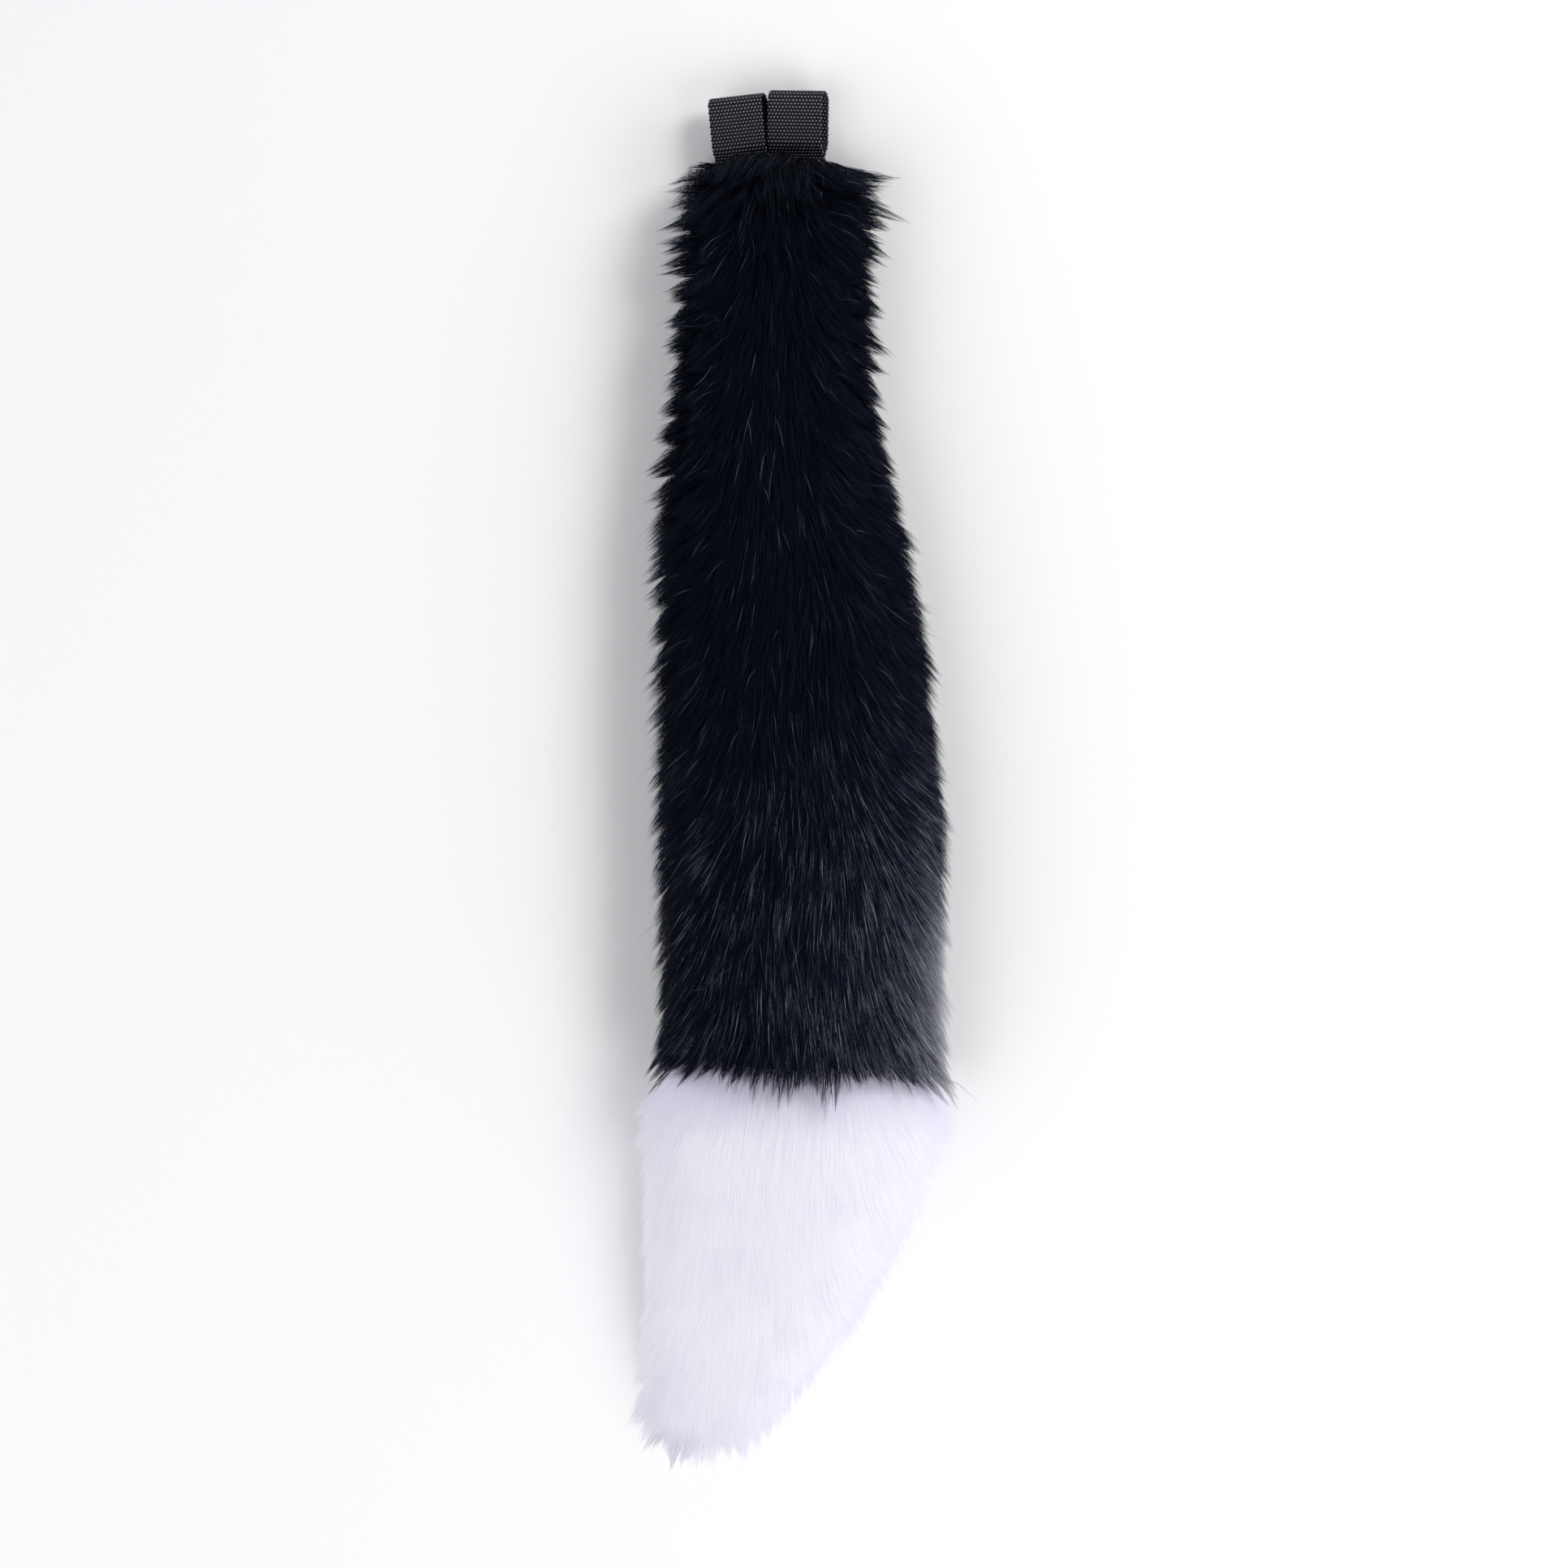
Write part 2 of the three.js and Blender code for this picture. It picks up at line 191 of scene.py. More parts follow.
# How far the guides of coarse locks, those of fine ones and single strands turn from the pile's
# way, in degrees, and how much they stray from its length.
Spread = namedtuple("Spread", "turn stray")
COARSE_SPREAD = Spread(7, 0.14)
FINE_SPREAD = Spread(6, 0.1)
STRAND_SPREAD = Spread(5, 0.13)
# Strands stray this much as far from the way in which they settle as from the pile's length.
SETTLE_STRAY = 0.5
# The pile's way also turns in long waves: how far, in radians, and how far along and across the
# tail each radian of a wave runs.
WAVE_TURN = 0.12
WAVE_ALONG = 19 * MM
WAVE_ACROSS = 31 * MM

# How far the fabric faces sideways where its pile lies as on the back, and where it lies as at
# the edge. Where the nap starts to turn outwards and turns most, and where it turns back.
EDGE_FACING = (0.35, 0.95)
FAN_FACING = (0.02, 0.5)
FAN_BACK_FACING = (1.0, 0.75)
# How far it faces along the tail where the pile starts to lie as on an end, and where it does.
LOOP_END_FACING = (0.3, 0.8)
TIP_END_FACING = (0.45, 0.9)
# Round the loops: how far the pile stands off the fabric, leans aside and falls back along the
# tail. Each is a value above them and what it gains beside them.
LOOP_STAND = (0.95, -0.65)
LOOP_LEAN = (0.2, 0.55)
LOOP_FALL = (1.0, -0.35)
# On the tip's closed end: how much the pile takes of the nap there as it leaves the fabric, and as
# it settles.
TIP_LEAVE = 0.4
TIP_SETTLE = 0.8
# How far it faces away from the back, either way, where locks start to part as at the edge.
LOCK_EDGE_FACING = (0.35, 0.9)
# How far it faces the seam, or the loops' seam, where it is the sewn face and grows no pile.
SEAM_FACING = 0.8
LOOP_SEAM_FACING = 0.5
# How far it faces up where the white pile reaches under the black.
UPPER_FACING = 0.4

# How one fur's strands lie: how far they bend either way from their mean lie, how far they turn
# about their own length, in degrees, how much they stray from each other's way, how much a strand
# takes its shading from the whole coat, how much the strands of one lock share a tone, and what
# share of them lies loose.
Lie = namedtuple("Lie", "bend roll stray softness lock_tone loose")
BLACK_LIE = Lie(12, 68, 1.0, 0.12, 0.12, 0.005)
WHITE_LIE = Lie(3, 12, 0.4, 0.92, 0.36, 0.004)

# Each fur, with the seed of its random draws.
Fur = namedtuple("Fur", "tube combing parting lie seed")
BLACK_FUR = Fur(BODY_TUBE, BODY_COMBING, BLACK_PARTING, BLACK_LIE, 11)
WHITE_FUR = Fur(TIP_TUBE, TIP_COMBING, WHITE_PARTING, WHITE_LIE, 21)

# Strand shape: shares of the length where its points lie, and its width there. It has two corners
# at each width and one at its end, and the faces run between them.
STRAND_SHARES = np.array((0.0, 1 / 3, 2 / 3, 1.0))
STRAND_TAPER = (1.0, 0.85, 0.45)
STRAND_CORNERS = 7
STRAND_FACES = np.array((0, 1, 3, 2, 2, 3, 5, 4, 4, 5, 6))
STRAND_FACE_SIZES = (4, 4, 3)
# How strands differ in width. The lightest, from the first tone to the second, are thinner.
WIDTH_SPREAD = (0.7, 1.25)
LIGHT_TONES = (0.88, 0.96)
LIGHT_THINNING = 0.4
# Light tones are also glossier, down to this share of the others' roughness.
GLOSSY_TONES = (0.8, 0.92)
GLOSSY_ROUGHNESS = 0.4
# How far a strand's shading turns towards its edges, as a round fibre's does.
STRAND_ROUNDNESS = 0.8
# The strand map: where a strand's corners lie beside its tone and up its length, and the margin.
MAP_SIDES = np.array((-0.5, 0.5, -0.5, 0.5, -0.5, 0.5, 0.0))
MAP_HEIGHTS = np.array((0.0, 0.0, 1 / 3, 1 / 3, 2 / 3, 2 / 3, 1.0))
STRAND_TONE_WIDTH = 0.004
MAP_MARGIN = 0.003
# Loose fibres of the back, where it faces up this far: how far they stray and stand off the coat,
# how much of that at each of their points, and the black ones' tone.
LOOSE_FACING = 0.35
LOOSE_STRAY = 4 * MM
LOOSE_RISE = 3 * MM
LOOSE_CURL = ((1, -0.15), (2, 0.6), (3, 1.0))
LOOSE_TONE = 0.91

# Where across the tail the white pile is brushed back over the seam, how wide and how far.
LAP_X = -44 * MM
LAP_WIDTH = 14 * MM
LAP = 3 * MM
# How far the white pile's first strands reach under the black fur.
UNDERLAP = 13 * MM
# How far to either side of the seam the pile runs straight on, as on level fabric.
SEAM_BAND = 16 * MM
# How near to the loops' sewn line no pile grows.
SEWN_BAND = 4 * MM

# Where the fabric faces down further than PRESSED it grows this share of its pile, and where it
# faces down further than UNDERSIDE its pile is shaded as its own underside.
PRESSED = -0.6
PRESSED_PILE = 0.15
UNDERSIDE = -0.85
# How much of the fabric's own slope, across, along and upwards, the coat's shading keeps, and how
# far that shading faces up at least, apart from the underside's.
COAT_SLOPE = np.array((1.0, 0.5, 1.0))
COAT_RISE = 0.6
# The lowest that a strand's middle lies and that its edges do, and the highest.
PILE_BOTTOM = 0.35 * MM
EDGE_BOTTOM = 0.2 * MM
PILE_TOP = 69 * MM

# Painted sheen: the black pile is painted greyer low down, from the first Y to the second, where the
# lights' sheen falls. Across the tail the painted sheen is faint over the left pair of places and
# strong over the right pair.
SHEEN_ALONG = (120 * MM, -80 * MM)
FAINT_SHEEN_ACROSS = (-45 * MM, 25 * MM)
STRONG_SHEEN_ACROSS = (10 * MM, 66 * MM)
# How far each of these takes a strand to the lightest tone, and how far both together may.
FAINT_SHEEN_SHARE = 0.45
STRONG_SHEEN_SHARE = 0.52
MOST_SHEEN_SHARE = 0.95
# The black strands' range of tones, and what it gains low down, with the painted sheen.
BLACK_TONES = (0.84, 0.1)
# Painted shade: the white pile is painted a deeper tone beside the seam, under the black pile's edge,
# towards its end, and where it faces right, to the brightest lights, to damp their light.
SEAM_SHADE = (SEAM_Y - 20 * MM, SEAM_Y + 4 * MM)
END_SHADE = (SEAM_Y - 90 * MM, SEAM_Y - 172 * MM)
LIT_FACING = (0.2, 0.9)
# How much deeper each of these makes the tone, as a share of it.
SEAM_DEPTH = 0.8
END_DEPTH = 0.4
LIT_DEPTH = 0.5
# The white strands' least tone, and their range of tones.
WHITE_TONES = (0.3, 0.7)
# How much more thickly the white pile grows at the seam.
SEAM_THICKENING = 1.2
# White strands are drawn this much wider than black ones.
WHITE_WIDTH = 1.35

# The tufts of short fibres at the pile's foot: how wide they are, and the scale that draws them
# out along the tail.
TUFT = 1.2 * MM
TUFT_SHAPE = (1.0, 0.12, 1.0)

# Webbing: the folded strap's side view, its weave, and how each loop sits in the end seam, in
# millimetres and degrees.
STRAP_WIDTH = 25.4
STRAP_THICKNESS = 1.6
LOOP_REACH = 32
LOOP_GAP = 7
LOOP_PARTING = 8
STRAP_TAIL = 8
LOOP_HEIGHT = 14
PLY_STEPS = 24
FOLD_STEPS = 40
RIB_PITCH = 1.62
YARN_PITCH = 0.59
YARNS = round(STRAP_WIDTH / YARN_PITCH)
TWIST_PITCH = 0.25
# The painted highlights, light dashes where the yarn crosses a rib, really lie two yarns apart, which
# is too fine to show, so they are drawn further apart.
HIGHLIGHT_DASH_PITCH = 1.6
ROWS_PER_RIB = 4
RIB_DEPTH = 0.26
YARN_DEPTH = 0.15
SELVEDGE_DEPTH = 0.22
# across and sunk place a loop in the seam. tilt turns it as seen from above, yaw lifts one side of
# it, and skew shifts its upper ply sideways over its lower one.
Loop = namedtuple("Loop", "name node across sunk tilt yaw skew")
LOOPS = (
    Loop("left_webbing_loop", "left_belt_loop", -18.7, 2.4, 5.5, 8.0, 2.4),
    Loop("right_webbing_loop", "right_belt_loop", 6.8, 0.0, -1.0, 2.0, 3.6),
)

# The photo's frame: its size in pixels, the real size of a pixel at the tail, and the pixel where
# the tube's own middle and loop end lie.
PHOTO_WIDTH = 1931
PHOTO_HEIGHT = 1932
PIXEL = 0.385 * MM
TUBE_PIXEL_X = 965
TOP_PIXEL_Y = 192
VIEW_PLANE_Z = 22 * MM
CAMERA_DISTANCE = 2.6
SENSOR = 36.0

# The studio: its floor, its soft lights, which all point at one place, and how bright its walls
# are from the floor's level up.
FLOOR_SIZE = 6.0
Softbox = namedtuple("Softbox", "name place size power colour")
SOFTBOXES = (
    Softbox("key_softbox", (1.4, 1.3, 1.55), 1.0, 27, (1.0, 0.99, 0.98)),
    Softbox("side_softbox", (1.5, -1.3, 1.4), 1.4, 20, (1.0, 0.99, 0.98)),
    Softbox("fill_softbox", (-1.7, -1.0, 2.1), 2.2, 31, (0.98, 0.98, 1.0)),
)
LIGHT_AIM = (0, -0.1, 0)
WALLS = (
    (0.0, (1.7, 1.7, 1.7, 1.0)),
    (0.35, (0.7, 0.7, 0.72, 1.0)),
    (0.8, (0.14, 0.14, 0.15, 1.0)),
)

# Which way the pile runs: down the tail, and off the tip's closed end.
DOWN = np.array((0.0, -1.0, 0.0))
TIP_NAP = np.array((-0.4, -0.9, 0.0))


def linear(hex_colour):
    """An sRGB hex value as the linear colour that Blender works in."""
    channels = [int(hex_colour[i:i + 2], 16) / 255 for i in (1, 3, 5)]
    return tuple(c / 12.92 if c <= 0.04045 else ((c + 0.055) / 1.055) ** 2.4 for c in channels) + (1.0,)


class TailFurSettings(bpy.types.PropertyGroup):
    """The pile of both fur fabrics."""

    black_strands: bpy.props.IntProperty(
        name="Black strands", description="Strands on each third of the black fur",
        default=39000, min=100, max=39900)
    white_strands: bpy.props.IntProperty(
        name="White strands", description="Strands on each half of the white fur",
        default=27500, min=100, max=39900)
    pile: bpy.props.FloatProperty(
        name="Pile", description="Length of a strand of pile",
        default=29 * MM, min=1 * MM, max=80 * MM, unit="LENGTH")
    strand_width: bpy.props.FloatProperty(
        name="Strand width", description="Width of a black strand at its root",
        default=0.42 * MM, min=0.05 * MM, max=2 * MM, unit="LENGTH")
    black: bpy.props.FloatVectorProperty(
        name="Black", description="Colour of most black strands",
        subtype="COLOR", default=linear("#050917")[:3])
    white: bpy.props.FloatVectorProperty(
        name="White", description="Colour of most white strands",
        subtype="COLOR", default=linear("#e3e1ec")[:3])


class TailWebbingSettings(bpy.types.PropertyGroup):
    """The belt loops' webbing."""

    yarn: bpy.props.FloatVectorProperty(
        name="Yarn", description="Colour of the webbing's yarn",
        subtype="COLOR", default=linear("#121219")[:3])
    roughness: bpy.props.FloatProperty(
        name="Roughness", description="Roughness of the webbing's yarn",
        default=0.5, min=0.0, max=1.0, subtype="FACTOR")


def add_node(tree, kind, settings=None, inputs=None):
    """Adds a node with its settings, and its inputs as values or as links from other sockets."""
    node = tree.nodes.new(kind)
    for name, value in (settings or {}).items():
        setattr(node, name, value)
    for name, value in (inputs or {}).items():
        if isinstance(value, bpy.types.NodeSocket):
            tree.links.new(value, node.inputs[name])
        else:
            node.inputs[name].default_value = value
    return node


def add_ramp(tree, factor, stops, smooth=True):
    """A colour ramp through (place, colour) stops."""
    node = add_node(tree, "ShaderNodeValToRGB", inputs={"Fac": factor})
    node.color_ramp.interpolation = "EASE" if smooth else "LINEAR"
    elements = node.color_ramp.elements
    while len(elements) < len(stops):
        elements.new(0.5)
    for element, (place, colour) in zip(elements, stops):
        element.position = place
        element.color = colour
    return node


def new_material(name):
    material = bpy.data.materials.new(name)
    material.use_nodes = True
    tree = material.node_tree
    shader = next(node for node in tree.nodes if node.type == "BSDF_PRINCIPLED")
    return material, tree, shader


def fur_material(name, tones, root_shade, roughness, gloss, glint):
    """Modacrylic pile. Each strand has one tone, from its place across the strand map, and takes
    painted shade and highlight along its length, by its place up that map. The lightest strands are the
    glossiest."""
    material, tree, shader = new_material(name)
    strand = add_node(tree, "ShaderNodeUVMap", {"uv_map": "OFBake"})
    place = add_node(tree, "ShaderNodeSeparateXYZ", inputs={"Vector": strand.outputs["UV"]})
    tone = add_ramp(tree, place.outputs["X"], tones, smooth=False)
    shade = add_ramp(tree, place.outputs["Y"], root_shade)
    colour = add_node(tree, "ShaderNodeMix", {"data_type": "RGBA", "blend_type": "MULTIPLY"},
                      {0: 1.0, 6: tone.outputs["Color"], 7: shade.outputs["Color"]})
    polish = add_node(tree, "ShaderNodeMapRange", inputs={
        "Value": place.outputs["X"], "From Min": GLOSSY_TONES[0], "From Max": GLOSSY_TONES[1],
        "To Min": roughness, "To Max": roughness * GLOSSY_ROUGHNESS})
    tree.links.new(colour.outputs[2], shader.inputs["Base Color"])
    tree.links.new(polish.outputs["Result"], shader.inputs["Roughness"])
    shader.inputs["Specular IOR Level"].default_value = gloss
    shader.inputs["Specular Tint"].default_value = glint
    shader.inputs["IOR"].default_value = 1.5
    return material


def bed_material(name, dark, light, roughness, gloss):
    """The dense short fibres at the foot of the pile: fine streaks along the nap, with relief."""
    material, tree, shader = new_material(name)
    place = add_node(tree, "ShaderNodeTexCoord")
    along = add_node(tree, "ShaderNodeMapping",
                     inputs={"Vector": place.outputs["Object"], "Scale": TUFT_SHAPE})
    fibres = add_node(tree, "ShaderNodeTexNoise", inputs={
        "Vector": along.outputs["Vector"], "Scale": 1 / TUFT, "Detail": 4.0, "Roughness": 0.6})
    colour = add_ramp(tree, fibres.outputs["Fac"], ((0.3, dark), (0.7, light)))
    relief = add_node(tree, "ShaderNodeBump", inputs={
        "Height": fibres.outputs["Fac"], "Distance": 0.8 * MM, "Strength": 0.8})
    tree.links.new(colour.outputs["Color"], shader.inputs["Base Color"])
    tree.links.new(relief.outputs["Normal"], shader.inputs["Normal"])
    shader.inputs["Roughness"].default_value = roughness
    shader.inputs["Specular IOR Level"].default_value = gloss
    return material


def grey(value):
    """A neutral shade, as a colour."""
    return (value, value, value, 1.0)


def black_pile_material(settings):
    """Black modacrylic pile: cool near black, with grey and pale glossy strands among it, whose grey
    and pale colour is painted glint and sheen. It is painted darker towards its root, as shade deep in
    the pile, and lightest at three quarters of its length, a painted highlight where it bends to the
    light."""
    base = tuple(settings.black)
    tones = (
        (0.0, tuple(c * 0.5 for c in base) + (1.0,)),
        (0.6, base + (1.0,)),
        # The grey and pale tones are painted glints and sheen.
        (0.84, linear("#0f1526")),
        (0.92, linear("#64687a")),
        (1.0, linear("#d8d8dc")),
    )
    # Painted shade towards the root, and a painted highlight at three quarters of the length.
    shade = ((0.0, grey(0.3)), (0.5, grey(0.45)), (0.75, grey(1.0)), (1.0, grey(0.6)))
    return fur_material("black_modacrylic_pile", tones, shade,
                        roughness=0.6, gloss=0.16, glint=linear("#b8c8ff"))


def white_pile_material(settings):
    """White modacrylic pile: a cool white whose deeper tones, to lavender, vary from strand to strand
    and carry its painted shade. It is painted a little darker at its root, as shade deep in the pile.
    """
    base = tuple(settings.white)
    tones = ((0.0, linear("#d5cfe6")), (0.45, base + (1.0,)), (1.0, linear("#f0eff5")))
    # Painted shade towards the root.
    shade = ((0.0, (0.88, 0.87, 0.92, 1.0)), (0.6, grey(1.0)))
    return fur_material("white_modacrylic_pile", tones, shade,
                        roughness=0.6, gloss=0.3, glint=grey(1.0))


def webbing_material(settings):
    """Plain woven polypropylene webbing. Its ribs and yarns are modelled. The yarn's own twist is a
    fine bump, the hollows between the ribs are painted darker as shade, and a painted highlight shows
    as a light dash where the yarn crosses a rib, each row's dashes half a step beside the last row's."""
    material, tree, shader = new_material("woven_polypropylene")
    place = add_node(tree, "ShaderNodeUVMap", {"uv_map": "webbing"})
    part = add_node(tree, "ShaderNodeSeparateXYZ", inputs={"Vector": place.outputs["UV"]})
    rib = add_node(tree, "ShaderNodeMath", {"operation": "DIVIDE"},
                   {0: part.outputs["Y"], 1: RIB_PITCH})
    row = add_node(tree, "ShaderNodeMath", {"operation": "FLOOR"}, {0: rib.outputs[0]})
    hump = add_node(tree, "ShaderNodeMath", {"operation": "PINGPONG"}, {0: rib.outputs[0], 1: 0.5})
    row_shift = add_node(tree, "ShaderNodeMath", {"operation": "MULTIPLY"},
                         {0: row.outputs[0], 1: 0.5})
    across = add_node(tree, "ShaderNodeMath", {"operation": "MULTIPLY_ADD"}, {
        0: part.outputs["X"], 1: 1 / HIGHLIGHT_DASH_PITCH, 2: row_shift.outputs[0]})
    stitch = add_node(tree, "ShaderNodeMath", {"operation": "PINGPONG"},
                      {0: across.outputs[0], 1: 0.5})
    crest_highlight = add_node(tree, "ShaderNodeMath", {"operation": "MULTIPLY"},
                    {0: hump.outputs[0], 1: stitch.outputs[0]})
    twist = add_node(tree, "ShaderNodeTexNoise", inputs={
        "Vector": place.outputs["UV"], "Scale": 1 / TWIST_PITCH, "Detail": 3.0})
    yarn = tuple(settings.yarn) + (1.0,)
    hollow_shade = tuple(c * 0.25 for c in settings.yarn) + (1.0,)
    # Painted shade in the hollows between the ribs, and painted highlights on the rib crests.
    colour = add_ramp(tree, crest_highlight.outputs[0], (
        (0.0, hollow_shade), (0.06, yarn), (0.1, linear("#3a3a46")), (0.15, linear("#868692"))))
    relief = add_node(tree, "ShaderNodeBump", inputs={
        "Height": twist.outputs["Fac"], "Distance": 0.15 * MM, "Strength": 0.6})
    tree.links.new(colour.outputs["Color"], shader.inputs["Base Color"])
    tree.links.new(relief.outputs["Normal"], shader.inputs["Normal"])
    shader.inputs["Roughness"].default_value = settings.roughness
    shader.inputs["Specular IOR Level"].default_value = 0.2
    return material


def unit(vectors):
    lengths = np.linalg.norm(vectors, axis=-1, keepdims=True)
    return vectors / np.maximum(lengths, 1e-9)


def smooth_step(low, high, values):
    share = np.clip((values - low) / (high - low), 0.0, 1.0)
    return share * share * (3 - 2 * share)


def gain(values, share):
    """The first of two values and as much of the second as the share says."""
    return values[0] + values[1] * share


def column(rows, name, along):
    """One column of a table, at shares of the length."""
    return np.interp(along, [row.along for row in rows], [getattr(row, name) for row in rows])


def deselect_all():
    if bpy.context.object and bpy.context.object.mode != "OBJECT":
        bpy.ops.object.mode_set(mode="OBJECT")
    bpy.ops.object.select_all(action="DESELECT")


def apply_modifiers(piece):
    for name in [modifier.name for modifier in piece.modifiers]:
        bpy.ops.object.modifier_apply(modifier=name)


def read_places(mesh):
    """A mesh's vertices, as an array."""
    places = np.empty(len(mesh.vertices) * 3)
    mesh.vertices.foreach_get("co", places)
    return places.reshape(-1, 3)


def read_mesh(piece):
    """A piece's vertices, their normals, and its triangles, as arrays."""
    mesh = piece.data
    mesh.calc_loop_triangles()
    normals = np.empty(len(mesh.vertices) * 3)
    mesh.vertex_normals.foreach_get("vector", normals)
    corners = np.empty(len(mesh.loop_triangles) * 3, dtype=np.int32)
    mesh.loop_triangles.foreach_get("vertices", corners)
    return read_places(mesh), normals.reshape(-1, 3), corners.reshape(-1, 3)


def measure_triangles(places, corners):
    """Each triangle's middle, and its normal, twice as long as the triangle is large."""
    a, b, c = (places[corners[:, i]] for i in range(3))
    return (a + b + c) / 3, np.cross(b - a, c - a)


def extrude_bed(tube):
    """The stuffed tube under the pile: a disc extruded from section to section, cut flat below."""
    def rise(row):
        return row.height * tube.height - column(tube.insets, "top", row.along)

    def middle(row):
        across = TUBE_X + tube.shift + row.centre * tube.width
        return Vector((across, tube.start - row.along * tube.length, MIDDLE_SHARE * rise(row)))

    def radii(row):
        half = row.half * tube.width - column(tube.insets, "side", row.along)
        return half, BULGE_SHARE * rise(row)

    first = tube.sections[0]
    deselect_all()
    bpy.ops.mesh.primitive_circle_add(
        vertices=32, radius=1.0, fill_type="NGON", location=middle(first),
        rotation=(math.pi / 2, 0.0, 0.0))
    bed = bpy.context.object
    bed.name = bed.data.name = tube.bed
    bpy.ops.object.mode_set(mode="EDIT")
    bpy.ops.mesh.select_all(action="SELECT")
    half, tall = radii(first)
    bpy.ops.transform.resize(value=(half, 1.0, tall), center_override=middle(first))
    for last, row in zip(tube.sections, tube.sections[1:]):
        bpy.ops.mesh.extrude_region_move(
            TRANSFORM_OT_translate={"value": middle(row) - middle(last)})
        growth = [new / old for new, old in zip(radii(row), radii(last))]
        bpy.ops.transform.resize(value=(growth[0], 1.0, growth[1]), center_override=middle(row))
    bpy.ops.mesh.select_all(action="SELECT")
    bpy.ops.mesh.bisect(
        plane_co=(0.0, 0.0, FLOOR_GAP), plane_no=(0.0, 0.0, 1.0), use_fill=True, clear_inner=True)
    bpy.ops.mesh.select_all(action="SELECT")
    bpy.ops.mesh.normals_make_consistent(inside=False)
    bpy.ops.object.mode_set(mode="OBJECT")
    bpy.ops.object.transform_apply(location=True, rotation=True, scale=True)
    return bed


def swell_cloth(bed, before, swell):
    """Where a bed's points lie once pressure has filled it, none further than swell from before."""
    bpy.ops.object.modifier_add(type="CLOTH")
    cloth = bed.modifiers[-1].settings
    cloth.quality = 5
    cloth.use_pressure = True
    cloth.uniform_pressure_force = STUFFING_PRESSURE
    cloth.effector_weights.gravity = 0.0
    for moment in range(1, STUFFING_FRAMES + 1):
        bpy.context.scene.frame_set(moment)
    stuffed = bed.evaluated_get(bpy.context.evaluated_depsgraph_get())
    move = read_places(stuffed.data) - before
    far = np.linalg.norm(move, axis=1, keepdims=True)
    after = before + move * np.minimum(1.0, swell / np.maximum(far, 1e-9))
    bpy.ops.object.modifier_remove(modifier=bed.modifiers[-1].name)
    bpy.context.scene.frame_set(1)
    return after


def stuff_bed(bed, swell):
    """Fills the tube by cloth pressure, so that it takes a stuffed thing's soft form. No point
    moves further than swell, and the underside stays on its plane."""
    bpy.ops.object.modifier_add(type="REMESH")
    remesh = bed.modifiers[-1]
    remesh.mode = "VOXEL"
    remesh.voxel_size = BED_VOXEL
    apply_modifiers(bed)
    places = read_places(bed.data)
    places = swell_cloth(bed, places, swell)
    places[:, 2] = np.maximum(places[:, 2], FLOOR_GAP)
    bed.data.vertices.foreach_set("co", places.ravel())
    bed.data.update()
    bpy.ops.object.modifier_add(type="SUBSURF")
    bed.modifiers[-1].levels = 1
    bed.modifiers[-1].render_levels = 1
    apply_modifiers(bed)
    bpy.ops.object.shade_smooth()


def scatter(bed, count, density, rng):
    """Places on a bed and the normals there, spread by area times density(places, normals)."""
    places, normals, corners = read_mesh(bed)
    middles, spans = measure_triangles(places, corners)
    weight = np.linalg.norm(spans, axis=1) * density(middles, unit(spans))
    steps = np.cumsum(weight)
    picked = np.searchsorted(steps, (np.arange(count) + rng.random(count)) / count * steps[-1])
    picked = np.minimum(picked, len(corners) - 1)
    first = np.sqrt(rng.random(count))
    second = rng.random(count)
    shares = np.stack((1 - first, first * (1 - second), first * second), axis=1)
    roots = np.einsum("nk,nkd->nd", shares, places[corners[picked]])
    outward = unit(np.einsum("nk,nkd->nd", shares, normals[corners[picked]]))
    return roots, outward


def pressed_pile(outward):
    """How much of its pile the fabric grows, by how far it faces down."""
    return np.where(outward[:, 2] < PRESSED, PRESSED_PILE, 1.0)


def loop_band(roots):
    """The nearest point to each root on the line where the loops are sewn in."""
    low = TUBE_X + (LOOPS[0].across - STRAP_WIDTH / 2) * MM
    high = TUBE_X + (LOOPS[1].across + STRAP_WIDTH / 2) * MM
    band = roots.copy()
    band[:, 0] = np.clip(roots[:, 0], low, high)
    band[:, 2] = LOOP_HEIGHT * MM
    return band


def part_round_loops(roots, outward, leave, settle):
    """On the loop end the pile parts round the loops: it fans out beside them, and above them it
    stands up over their feet and falls back along the tail."""
    end = smooth_step(*LOOP_END_FACING, outward[:, 1])[:, None]
    apart = roots - loop_band(roots)
    apart[:, 1] = 0.0
    from_middle = roots - np.array((TUBE_X, 0.0, LOOP_HEIGHT * MM))
    from_middle[:, 1] = 0.0
    apart = unit(unit(apart) + unit(from_middle))
    beside = np.abs(apart[:, :1])
    end_leave = unit(apart + gain(LOOP_STAND, beside) * outward)
    end_settle = unit(apart * gain(LOOP_LEAN, beside) + DOWN * gain(LOOP_FALL, beside))
    return unit(leave * (1 - end) + end_leave * end), unit(settle * (1 - end) + end_settle * end)


def stand_at_tip(outward, leave, settle):
    """On the closed end of the tip the pile stands out, a little towards the tip's side."""
    end = smooth_step(*TIP_END_FACING, -outward[:, 1])[:, None]
    leave = unit(leave * (1 - end) + (outward + TIP_LEAVE * TIP_NAP) * end)
    settle = unit(settle * (1 - end) + (outward + TIP_SETTLE * TIP_NAP) * end)
    return leave, settle


def share_along(tube, places):
    """How far along its tube each place lies, from 0 to 1."""
    return np.clip((tube.start - places[:, 1]) / tube.length, 0.0, 1.0)


